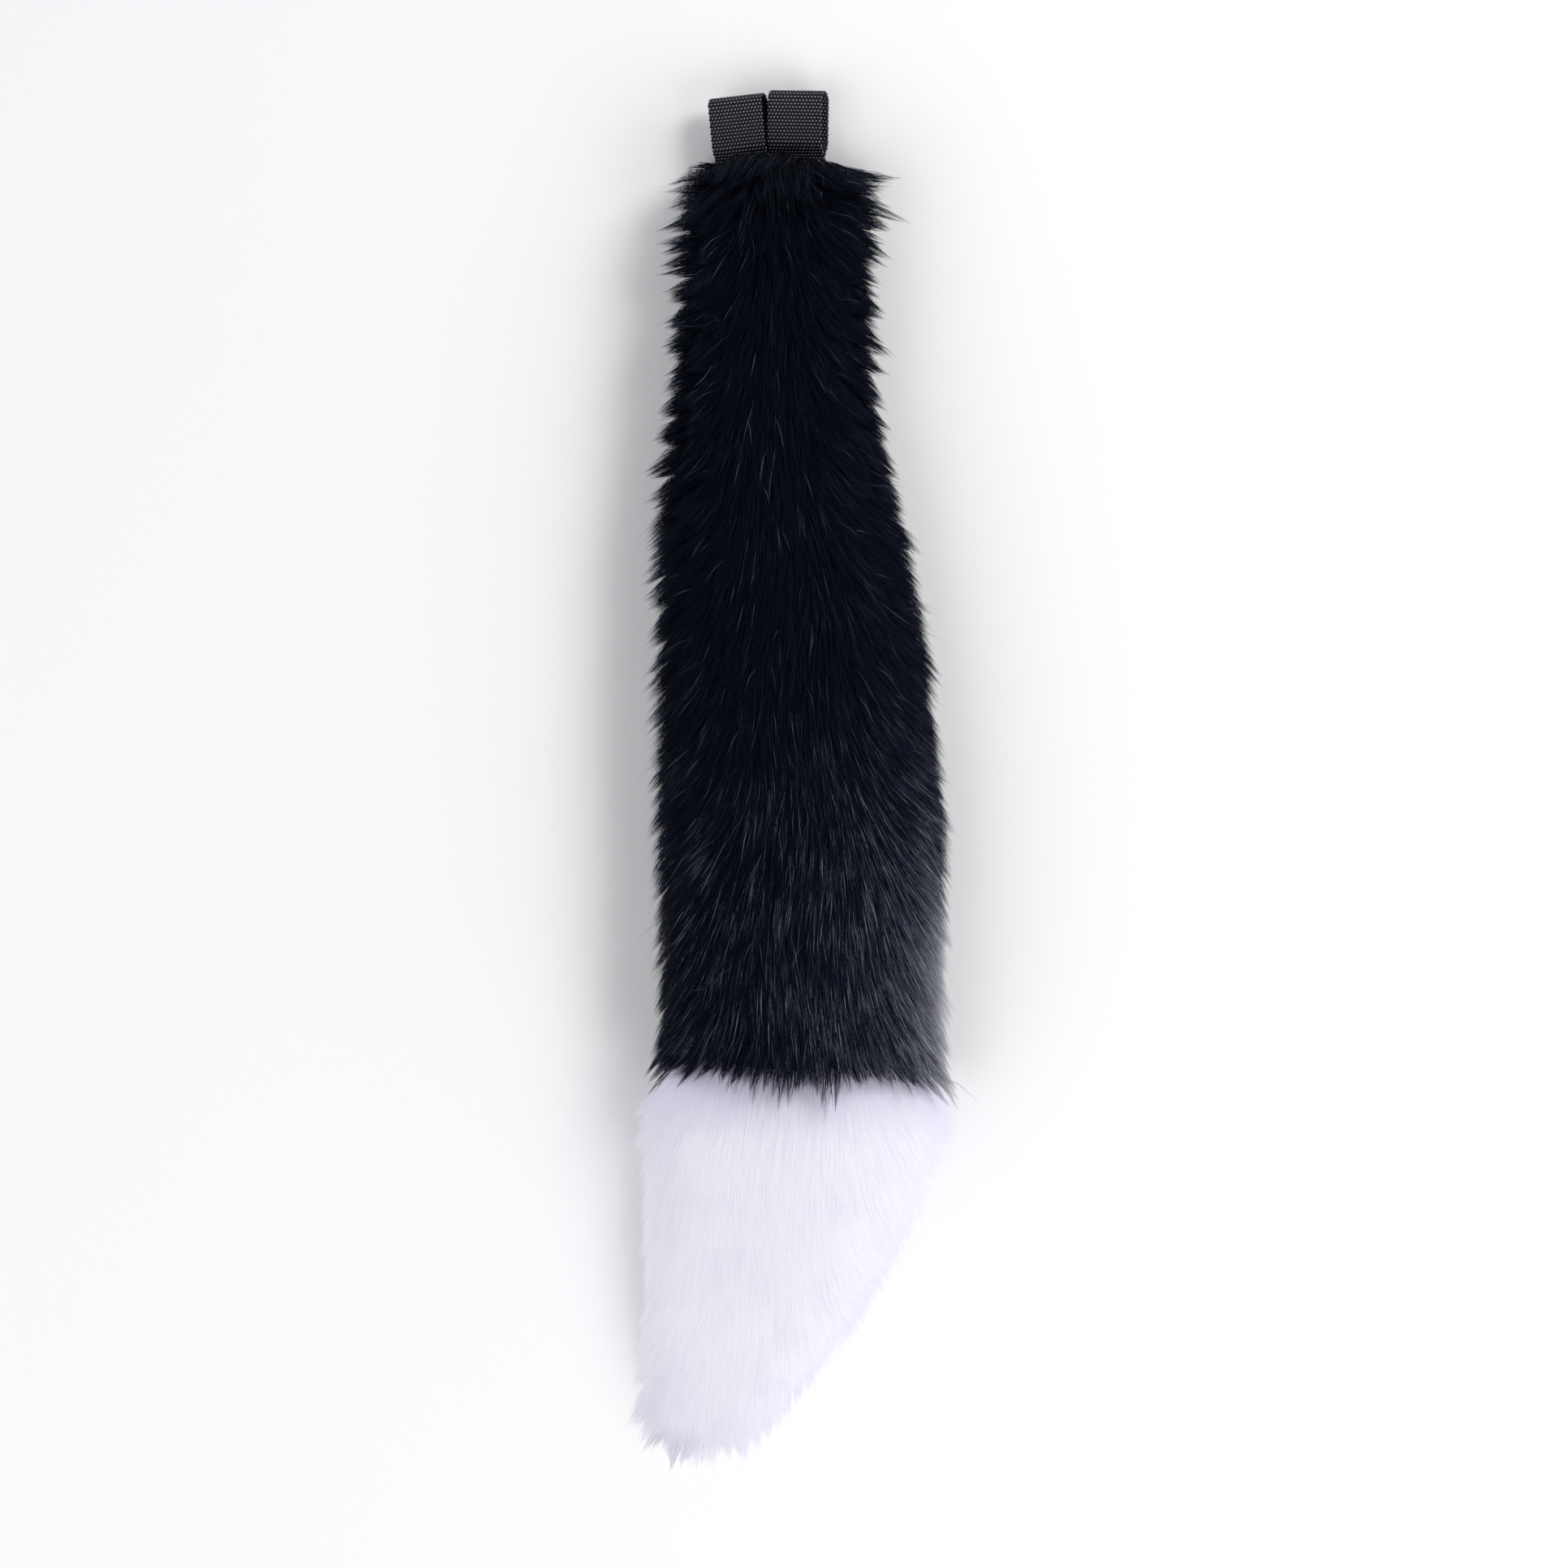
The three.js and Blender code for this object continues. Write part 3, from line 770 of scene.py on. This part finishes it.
def comb(fur, roots, outward, sway):
    """Where each strand leaves the fabric and where it settles, as unit directions."""
    rows = fur.combing
    along = share_along(fur.tube, roots)
    side = outward[:, 0]
    left = side < 0
    lift = column(rows, "lift", along)
    edge = np.where(left, column(rows, "left", along), column(rows, "right", along))
    fan = np.where(left, -column(rows, "fan_left", along), column(rows, "fan_right", along))
    side = np.abs(side)
    stand = np.radians(lift + (edge - lift) * smooth_step(*EDGE_FACING, side))
    turn = np.radians(fan) * smooth_step(*FAN_FACING, side) * smooth_step(*FAN_BACK_FACING, side)
    turn = turn + sway
    nap = DOWN - outward * (outward @ DOWN)[:, None]
    across = np.cross(nap, outward)
    across = across * np.sign(across[:, :1] + 1e-12)
    nap = nap * np.cos(turn)[:, None] + across * np.sin(turn)[:, None]
    bend = math.radians(fur.lie.bend)
    leave_angle = (stand + bend)[:, None]
    settle_angle = (stand - bend)[:, None]
    leave = unit(nap * np.cos(leave_angle) + outward * np.sin(leave_angle))
    settle = unit(nap * np.cos(settle_angle) + outward * np.sin(settle_angle))
    leave, settle = part_round_loops(roots, outward, leave, settle)
    return stand_at_tip(outward, leave, settle)


def level_seam(roots, outward):
    """Turns the normals beside the seam upright, so that the pile runs on across it."""
    near = np.abs(roots[:, 1] - SEAM_Y) < SEAM_BAND
    level = outward.copy()
    level[near, 1] = 0.0
    return unit(level)


def bend_strands(roots, leave, settle, lengths):
    """Each strand's points, on a path that turns from one direction to the other."""
    points = [roots]
    for low, high in zip(STRAND_SHARES, STRAND_SHARES[1:]):
        middle = (low + high) / 2
        way = unit(leave * (1 - middle) + settle * middle)
        points.append(points[-1] + way * lengths[:, None] * (high - low))
    return np.stack(points, axis=1)


def nearest(seeds, roots):
    """The number of the seed nearest to each root."""
    tree = kdtree.KDTree(len(seeds))
    for number, seed in enumerate(seeds):
        tree.insert(seed, number)
    tree.balance()
    return np.array([tree.find(root)[1] for root in roots])


def gather(strands, guides, owner, pull, point, pitch):
    """Draws strands to the guide of their own lock, more towards their tips, and shortens those
    at its side, so that the lock ends in a point."""
    own = guides[owner]
    far = np.linalg.norm(strands[:, 0] - own[:, 0], axis=1) / pitch
    size = LOCK_CREST - point * np.clip(far, 0.0, 1.0)
    strands = strands[:, :1] + (strands - strands[:, :1]) * size[:, None, None]
    own = own[:, :1] + (own - own[:, :1]) * size[:, None, None]
    draw = pull[:, None] * STRAND_SHARES ** DRAW_CURVE
    spread = (strands[:, :1] - own[:, :1]) * (1 - STRAND_SHARES)[None, :, None]
    return strands + (own + spread - strands) * draw[..., None]


def surface_area(bed):
    places, _, corners = read_mesh(bed)
    return np.linalg.norm(measure_triangles(places, corners)[1], axis=1).sum() / 2


def lay_strands(fur, roots, outward, pile, spread, rng):
    """The paths of strands from their roots, in long waves and each a little its own way."""
    stray = spread.stray
    sway = math.radians(spread.turn) * fur.lie.stray * rng.standard_normal(len(roots))
    sway += WAVE_TURN * np.sin(roots[:, 1] / WAVE_ALONG + roots[:, 0] / WAVE_ACROSS)
    leave, settle = comb(fur, roots, level_seam(roots, outward), sway)
    size = column(fur.combing, "size", share_along(fur.tube, roots))
    lengths = pile * size * (1 + stray * rng.standard_normal(len(roots)))
    settle_stray = SETTLE_STRAY * stray * fur.lie.stray
    settle = unit(settle + settle_stray * rng.standard_normal(roots.shape))
    return bend_strands(roots, leave, settle, lengths)


def grow_pile(fur, count, pile, density):
    """Strands of pile on a bed, drawn together in fine locks and those in coarse ones."""
    rng = np.random.default_rng(fur.seed)
    bed = bpy.data.objects[fur.tube.bed]
    area = surface_area(bed)
    parting = fur.parting
    coarse_roots, coarse_out = scatter(bed, int(area / COARSE_LOCK ** 2), density, rng)
    coarse = lay_strands(fur, coarse_roots, coarse_out, pile, COARSE_SPREAD, rng)
    fine_roots, fine_out = scatter(bed, int(area / FINE_LOCK ** 2), density, rng)
    fine = lay_strands(fur, fine_roots, fine_out, pile, FINE_SPREAD, rng)

    along = share_along(fur.tube, fine_roots)
    ragged = column(fur.combing, "ragged", along)
    facing = np.abs(fine_out[:, 0]) + END_PARTING * np.abs(fine_out[:, 1])
    side = smooth_step(*LOCK_EDGE_FACING, facing)
    last = smooth_step(*LAST_ROWS, along)
    edge = np.maximum(side, last)
    pull = parting.coarse_back + (parting.coarse_edge - parting.coarse_back) * side
    pull = np.minimum(pull * ragged * rng.uniform(*PULL_SPREAD, len(fine)), 1.0)
    coarse_owner = nearest(coarse_roots, fine_roots)
    point = parting.point * gain(BACK_POINT, edge) * ragged
    fine = gather(fine, coarse, coarse_owner, pull, point, COARSE_LOCK)

    roots, outward = scatter(bed, count, density, rng)
    strands = lay_strands(fur, roots, outward, pile, STRAND_SPREAD, rng)
    owner = nearest(fine_roots, roots)
    pull = parting.fine_back + (parting.fine_edge - parting.fine_back) * edge[owner]
    pull = np.minimum(pull * ragged[owner] * rng.uniform(*PULL_SPREAD, count), 1.0)
    pull = np.maximum(pull, LAST_PULL * last[owner])
    point = FINE_POINT * parting.point * edge[owner]
    strands = gather(strands, fine, owner, pull, point, FINE_LOCK)
    lock_tone = rng.random(len(coarse))[coarse_owner][owner]
    tone = rng.random(count) + (lock_tone - 0.5) * fur.lie.lock_tone
    return strands, outward, tone


def loosen(strands, outward, share, rng):
    """Curls a few strands of the back out of their lock, as loose fibres on the coat."""
    loose = (rng.random(len(strands)) < share) & (outward[:, 2] > LOOSE_FACING)
    kick = rng.standard_normal((loose.sum(), 3)) * LOOSE_STRAY
    kick += outward[loose] * LOOSE_RISE
    for point, amount in LOOSE_CURL:
        strands[loose, point] += kick * amount
    return loose


def shape_ribbons(strands, outward, tone, width, lie, rng):
    """Each strand's corners, as a tapered ribbon, and the normals there: a round fibre's, mixed
    with the whole coat's."""
    count = len(strands)
    strands[..., 2] = np.clip(strands[..., 2], PILE_BOTTOM, PILE_TOP)
    tangents = unit(np.gradient(strands, axis=1))
    roll = math.radians(lie.roll) * rng.uniform(-1, 1, count)[:, None, None]
    coat = outward * COAT_SLOPE
    beside = coat[:, 2] > UNDERSIDE
    coat[beside, 2] = np.maximum(coat[beside, 2], COAT_RISE)
    coat = unit(coat)[:, None, :]
    facing = unit(coat - tangents * (tangents * coat).sum(-1, keepdims=True))
    across = np.cross(tangents, facing)
    flat = facing * np.cos(roll) + across * np.sin(roll)
    across = across * np.cos(roll) - facing * np.sin(roll)
    thinned = 1 - LIGHT_THINNING * smooth_step(*LIGHT_TONES, tone)
    widths = width * rng.uniform(*WIDTH_SPREAD, count) * thinned
    corners = []
    shades = []
    for step, taper in enumerate(STRAND_TAPER):
        for hand in (-1, 1):
            reach = across[:, step] * (hand * 0.5 * taper * widths)[:, None]
            corners.append(strands[:, step] + reach)
            shades.append(flat[:, step] + across[:, step] * hand * STRAND_ROUNDNESS)
    corners.append(strands[:, -1])
    shades.append(flat[:, -1])
    corners = np.stack(corners, axis=1)
    corners[..., 2] = np.maximum(corners[..., 2], EDGE_BOTTOM)
    shades = unit(unit(np.stack(shades, axis=1)) * (1 - lie.softness) + coat * lie.softness)
    return corners, shades


def strand_mesh(name, strands, outward, tone, width, lie, rng):
    """Joins strands into one piece, with a strand map that holds their tones and lengths."""
    count = len(strands)
    corners, shades = shape_ribbons(strands, outward, tone, width, lie, rng)
    loops = (np.arange(count)[:, None] * STRAND_CORNERS + STRAND_FACES).ravel()
    sizes = np.tile(STRAND_FACE_SIZES, count)
    mesh = bpy.data.meshes.new(name)
    mesh.vertices.add(count * STRAND_CORNERS)
    mesh.loops.add(len(loops))
    mesh.polygons.add(len(sizes))
    mesh.vertices.foreach_set("co", corners.ravel())
    mesh.loops.foreach_set("vertex_index", loops)
    mesh.polygons.foreach_set("loop_start", np.concatenate(((0,), np.cumsum(sizes)[:-1])))
    mesh.polygons.foreach_set("loop_total", sizes)
    mesh.update(calc_edges=True)
    mesh.polygons.foreach_set("use_smooth", np.ones(len(sizes), dtype=bool))
    places = np.empty((count, STRAND_CORNERS, 2))
    tone = np.clip(tone, MAP_MARGIN, 1 - MAP_MARGIN)
    places[..., 0] = tone[:, None] + MAP_SIDES * STRAND_TONE_WIDTH
    places[..., 1] = MAP_HEIGHTS * (1 - 2 * MAP_MARGIN) + MAP_MARGIN
    strand_map = mesh.uv_layers.new(name="OFBake")
    strand_map.data.foreach_set("uv", places.reshape(-1, 2)[loops].ravel())
    mesh.normals_split_custom_set_from_vertices(shades.reshape(-1, 3).tolist())
    piece = bpy.data.objects.new(name, mesh)
    bpy.context.scene.collection.objects.link(piece)
    return piece


def split_strands(names, strands, outward, tone, width, lie, rng):
    """Joins strands into as many pieces as there are names, from the loop end to the tip."""
    order = np.argsort(-strands[:, 0, 1])
    for name, part in zip(names, np.array_split(order, len(names))):
        yield strand_mesh(name, strands[part], outward[part], tone[part], width, lie, rng)


def dress(piece, material, slot, *nodes):
    """Gives a piece its material, attaches it to the root body and hides the frame's parts that it
    replaces.
    """
    piece.data.materials.clear()
    piece.data.materials.append(material)
    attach(piece, "root")
    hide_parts(*nodes)


class TAIL_OT_fur_beds(bpy.types.Operator):
    """Model the two stuffed tubes that the pile grows on"""

    bl_idname = "tail.fur_beds"
    bl_label = "Fur beds"

    def execute(self, context):
        black = extrude_bed(BODY_TUBE)
        stuff_bed(black, BODY_TUBE.swell)
        dress(black, bed_material("black_pile_foot", linear("#040509"), linear("#0c0e16"), 0.8, 0.2),
              "black_fur", "black_fur_body")
        white = extrude_bed(TIP_TUBE)
        stuff_bed(white, TIP_TUBE.swell)
        # The white pile's foot is painted a deeper lavender, as shade deep in the pile.
        dress(white, bed_material("white_pile_foot", linear("#d4cfe2"), linear("#e2deec"), 0.9, 0.2),
              "white_fur", "white_fur_tip")
        return {"FINISHED"}


def black_density(places, outward):
    """How thickly the black pile grows: not on the seam's face, nor where the loops are sewn in."""
    stops = np.interp(places[:, 0] / MM, *zip(*SEAM_STOPS)) * MM
    seam = places[:, 1] > SEAM_Y + stops
    facing_seam = outward[:, 1] < -SEAM_FACING
    from_loops = np.linalg.norm(places - loop_band(places), axis=1)
    sewn = (outward[:, 1] > LOOP_SEAM_FACING) & (from_loops < SEWN_BAND)
    return pressed_pile(outward) * seam * ~facing_seam * ~sewn


def black_tones(strands, tone):
    """The black strands' tones, with painted sheen: greyer low down and most of all at the right."""
    low = smooth_step(*SHEEN_ALONG, strands[:, 0, 1])
    faint_sheen = low * smooth_step(*FAINT_SHEEN_ACROSS, strands[:, 0, 0])
    strong_sheen = low * smooth_step(*STRONG_SHEEN_ACROSS, strands[:, 0, 0])
    tone = tone * gain(BLACK_TONES, low)
    return tone + (1 - tone) * np.minimum(FAINT_SHEEN_SHARE * faint_sheen + STRONG_SHEEN_SHARE * strong_sheen, MOST_SHEEN_SHARE)


class TAIL_OT_black_fur(bpy.types.Operator):
    """Grow the black pile, in three stretches down the tail"""

    bl_idname = "tail.black_fur"
    bl_label = "Black fur"

    def execute(self, context):
        settings = context.scene.tail_fur
        strands, outward, tone = grow_pile(
            BLACK_FUR, settings.black_strands * 3, settings.pile, black_density)
        rng = np.random.default_rng(BLACK_FUR.seed + 1)
        # Painted sheen, low down and most of all at the right.
        tone = black_tones(strands, tone)
        tone[loosen(strands, outward, BLACK_LIE.loose, rng)] = LOOSE_TONE
        material = black_pile_material(settings)
        names = ("black_fur_upper", "black_fur_middle", "black_fur_lower")
        for piece in split_strands(names, strands, outward, tone, settings.strand_width,
                                   BLACK_LIE, rng):
            dress(piece, material, "black_fur", "black_fur_body")
        return {"FINISHED"}


def white_start(places, outward):
    """How near the seam the upper white pile roots, from 0 to 1 at the seam."""
    return smooth_step(SEAM_Y - SEAM_BAND, SEAM_Y, places[:, 1]) * (outward[:, 2] > UPPER_FACING)


def white_density(places, outward):
    """How thickly the white pile grows: thicker beside the seam, and not on the seam's face."""
    thicker = 1 + SEAM_THICKENING * white_start(places, outward)
    return pressed_pile(outward) * thicker * (outward[:, 1] < SEAM_FACING)


def white_tones(strands, outward, tone):
    """The white strands' tones, with painted shade beside the seam, towards the end and at the lit
    side.
    """
    shaded = smooth_step(*SEAM_SHADE, strands[:, 0, 1])
    end = smooth_step(*END_SHADE, strands[:, 0, 1])
    lit = smooth_step(*LIT_FACING, outward[:, 0])
    tone = gain(WHITE_TONES, tone) * (1 - SEAM_DEPTH * shaded)
    return tone * (1 - END_DEPTH * end) * (1 - LIT_DEPTH * lit)


class TAIL_OT_white_fur(bpy.types.Operator):
    """Grow the white pile, in two stretches down the tip"""

    bl_idname = "tail.white_fur"
    bl_label = "White fur"

    def execute(self, context):
        settings = context.scene.tail_fur
        count = settings.white_strands * 2
        strands, outward, tone = grow_pile(WHITE_FUR, count, settings.pile, white_density)
        rng = np.random.default_rng(WHITE_FUR.seed + 1)
        loosen(strands, outward, WHITE_LIE.loose, rng)
        first = white_start(strands[:, 0], outward)
        strands[..., 1] += (first * UNDERLAP * rng.random(count))[:, None]
        lap = first * np.exp(-((strands[:, 0, 0] - LAP_X) / LAP_WIDTH) ** 2)
        strands[..., 1] += (lap * LAP)[:, None]
        strands[..., 2] += (lap * LAP)[:, None]
        # Painted shade beside the seam, towards the end and at the lit side.
        tone = white_tones(strands, outward, tone)
        material = white_pile_material(settings)
        names = ("white_fur_upper", "white_fur_lower")
        for piece in split_strands(names, strands, outward, tone,
                                   WHITE_WIDTH * settings.strand_width, WHITE_LIE, rng):
            # White fibres let light through, so they don't darken each other.
            piece.visible_shadow = False
            piece.visible_diffuse = False
            dress(piece, material, "white_fur", "white_fur_tip")
        return {"FINISHED"}


def strap_route():
    """The folded strap's middle, in (y, z) about its sewn end, as evenly spaced points with the
    direction that faces out of the loop at each."""
    thin = STRAP_THICKNESS / 2
    wide = LOOP_GAP / 2 + thin
    centre = LOOP_REACH - LOOP_GAP / 2 - STRAP_THICKNESS
    rise = np.linspace(0.0, 1.0, PLY_STEPS)
    blend = smooth_step(0.0, 1.0, rise)
    ply = np.stack((LOOP_PARTING * rise, thin + (wide - thin) * blend), axis=1)
    ply = np.concatenate((((-STRAP_TAIL, thin),), ply, ((centre, wide),)))
    angles = np.linspace(-math.pi / 2, math.pi / 2, FOLD_STEPS)[1:-1]
    fold = np.stack((centre + wide * np.cos(angles), wide * np.sin(angles)), axis=1)
    route = np.concatenate((ply * (1, -1), fold, ply[::-1]))
    steps = np.linalg.norm(np.diff(route, axis=0), axis=1)
    lengths = np.concatenate(((0.0,), np.cumsum(steps)))
    ribs = round(lengths[-1] / RIB_PITCH)
    at = np.linspace(0.0, lengths[-1], ribs * ROWS_PER_RIB + 1)
    points = np.stack([np.interp(at, lengths, route[:, i]) for i in range(2)], axis=1)
    along = unit(np.gradient(points, axis=0))
    return at, points, np.stack((along[:, 1], -along[:, 0]), axis=1)


def raise_weave(yarn, row):
    """Each grid point's place across the strap and its height, with the ribs' humps, the yarns
    that pass over and under them, and the selvedges pulled in between the ribs."""
    across = (yarn / YARNS - 0.5) * STRAP_WIDTH
    rib = row / ROWS_PER_RIB
    crest = np.sin(math.pi * rib) ** 2
    over = np.where((np.floor(rib).astype(int) + yarn) % 2 == 0, 1.0, -1.0)
    height = RIB_DEPTH * crest + YARN_DEPTH * crest * over
    selvedge = np.abs(across) > STRAP_WIDTH / 2 - 0.5 * YARN_PITCH
    pulled = np.where(selvedge, np.sign(across) * SELVEDGE_DEPTH * (crest - 0.5), 0.0)
    return across + pulled, height


def seat_strap(loop, across, place):
    """A folded strap's points, skewed and turned as it lies and set in the end seam."""
    skew = -loop.skew / (LOOP_GAP + 2 * STRAP_THICKNESS)
    points = np.stack((across + skew * place[:, 1], place[:, 0], place[:, 1]), axis=1)
    turn = Euler((0.0, math.radians(-loop.yaw), math.radians(loop.tilt)), "XYZ").to_matrix()
    seat = np.array((TUBE_X / MM + loop.across, LOOP_END_Y / MM - loop.sunk, LOOP_HEIGHT))
    return (points @ np.array(turn).T + seat) * MM


def thicken_strap(strap):
    """Gives the woven sheet its thickness, to either side."""
    bpy.ops.object.modifier_add(type="SOLIDIFY")
    wall = strap.modifiers[-1]
    wall.thickness = (STRAP_THICKNESS - RIB_DEPTH) * MM
    wall.offset = 0.0
    wall.use_even_offset = False
    apply_modifiers(strap)
    bpy.ops.object.mode_set(mode="EDIT")
    bpy.ops.mesh.select_all(action="SELECT")
    bpy.ops.mesh.normals_make_consistent(inside=False)
    bpy.ops.object.mode_set(mode="OBJECT")
    bpy.ops.object.shade_smooth_by_angle(angle=math.radians(60))


def weave_strap(loop, material):
    """One belt loop: a grid with the weave raised on it, laid along the fold, set in the end seam
    and given its thickness. It is bent by formula, because Blender's own bend needs a window."""
    at, route, facing = strap_route()
    rows = len(at)
    deselect_all()
    bpy.ops.mesh.primitive_grid_add(x_subdivisions=YARNS, y_subdivisions=rows - 1, size=2.0)
    strap = bpy.context.object
    strap.name = strap.data.name = loop.name
    mesh = strap.data
    flat = read_places(mesh)
    yarn = np.rint((flat[:, 0] + 1) / 2 * YARNS).astype(int)
    row = np.rint((flat[:, 1] + 1) / 2 * (rows - 1)).astype(int)
    across, height = raise_weave(yarn, row)
    place = route[row] + facing[row] * (height - RIB_DEPTH / 2)[:, None]
    mesh.vertices.foreach_set("co", seat_strap(loop, across, place).ravel())
    layer = mesh.uv_layers.active or mesh.uv_layers.new(name="webbing")
    layer.name = "webbing"
    corner = np.empty(len(mesh.loops), dtype=np.int32)
    mesh.loops.foreach_get("vertex_index", corner)
    woven = np.stack((across, at[row]), axis=1)[corner]
    layer.data.foreach_set("uv", woven.ravel())
    mesh.update()
    thicken_strap(strap)
    dress(strap, material, "black_webbing", loop.node)


class TAIL_OT_belt_loops(bpy.types.Operator):
    """Weave and fold the two belt loops"""

    bl_idname = "tail.belt_loops"
    bl_label = "Belt loops"

    def execute(self, context):
        material = webbing_material(context.scene.tail_webbing)
        for loop in LOOPS:
            weave_strap(loop, material)
        return {"FINISHED"}


def add_softbox(box):
    """A square area light that points at the tail."""
    light = bpy.data.lights.new(box.name, "AREA")
    light.shape = "SQUARE"
    light.size = box.size
    light.energy = box.power
    light.color = box.colour
    holder = bpy.data.objects.new(box.name, light)
    holder.location = box.place
    way = Vector(LIGHT_AIM) - Vector(box.place)
    holder.rotation_euler = way.to_track_quat("-Z", "Y").to_euler()
    bpy.context.scene.collection.objects.link(holder)


def add_floor():
    """The pale floor that the tail lies on."""
    deselect_all()
    bpy.ops.mesh.primitive_plane_add(size=FLOOR_SIZE, location=(0.0, 0.0, 0.0))
    floor = bpy.context.object
    floor.name = "floor"
    material, _, shader = new_material("matt_paper")
    shader.inputs["Base Color"].default_value = linear("#fbfbfc")
    shader.inputs["Roughness"].default_value = 0.9
    shader.inputs["Specular IOR Level"].default_value = 0.1
    floor.data.materials.append(material)


def light_studio(scene):
    """The studio's walls, which light the tail from low down, and its soft lights."""
    world = bpy.data.worlds.new("studio")
    world.use_nodes = True
    tree = world.node_tree
    way = add_node(tree, "ShaderNodeTexCoord")
    rise = add_node(tree, "ShaderNodeSeparateXYZ", inputs={"Vector": way.outputs["Generated"]})
    walls = add_ramp(tree, rise.outputs["Z"], WALLS)
    tree.links.new(walls.outputs["Color"], tree.nodes["Background"].inputs["Color"])
    scene.world = world
    scene.view_settings.view_transform = "Standard"
    for box in SOFTBOXES:
        add_softbox(box)


def add_camera(scene):
    """The camera straight above the tail, with the photo's frame."""
    camera = bpy.data.cameras.new("camera")
    camera.sensor_fit = "HORIZONTAL"
    camera.sensor_width = SENSOR
    camera.lens = SENSOR * CAMERA_DISTANCE / (PHOTO_WIDTH * PIXEL)
    holder = bpy.data.objects.new("camera", camera)
    middle_x = TUBE_X + (PHOTO_WIDTH / 2 - TUBE_PIXEL_X) * PIXEL
    middle_y = LOOP_END_Y - (PHOTO_HEIGHT / 2 - TOP_PIXEL_Y) * PIXEL
    holder.location = (middle_x, middle_y, VIEW_PLANE_Z + CAMERA_DISTANCE)
    scene.collection.objects.link(holder)
    scene.camera = holder


class TAIL_OT_stage(bpy.types.Operator):
    """Set the pale floor, the soft lights and the camera straight above the tail"""

    bl_idname = "tail.stage"
    bl_label = "Stage"

    def execute(self, context):
        add_floor()
        light_studio(context.scene)
        add_camera(context.scene)
        return {"FINISHED"}


class TAIL_PT_panel(bpy.types.Panel):
    """Lists the tail's pieces in the order in which they are made"""

    bl_label = "Costume tail"
    bl_idname = "TAIL_PT_panel"
    bl_space_type = "VIEW_3D"
    bl_region_type = "UI"
    bl_category = "Costume tail"

    def draw(self, context):
        fur = context.scene.tail_fur
        for name in ("black_strands", "white_strands", "pile", "strand_width", "black", "white"):
            self.layout.prop(fur, name)
        webbing = context.scene.tail_webbing
        self.layout.prop(webbing, "yarn")
        self.layout.prop(webbing, "roughness")
        for operator in PIECE_OPERATORS:
            self.layout.operator(operator.bl_idname)


PIECE_OPERATORS = (
    TAIL_OT_stage,
    TAIL_OT_fur_beds,
    TAIL_OT_black_fur,
    TAIL_OT_white_fur,
    TAIL_OT_belt_loops,
)
CLASSES = (TailFurSettings, TailWebbingSettings, *PIECE_OPERATORS, TAIL_PT_panel)


def register():
    for entry in CLASSES:
        bpy.utils.register_class(entry)
    bpy.types.Scene.tail_fur = bpy.props.PointerProperty(type=TailFurSettings)
    bpy.types.Scene.tail_webbing = bpy.props.PointerProperty(type=TailWebbingSettings)


def unregister():
    del bpy.types.Scene.tail_webbing
    del bpy.types.Scene.tail_fur
    for entry in reversed(CLASSES):
        bpy.utils.unregister_class(entry)


def main():
    """Makes every piece in order."""
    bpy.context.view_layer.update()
    register()
    bpy.ops.tail.stage()
    bpy.ops.tail.fur_beds()
    bpy.ops.tail.black_fur()
    bpy.ops.tail.white_fur()
    bpy.ops.tail.belt_loops()


if __name__ == "__main__":
    main()
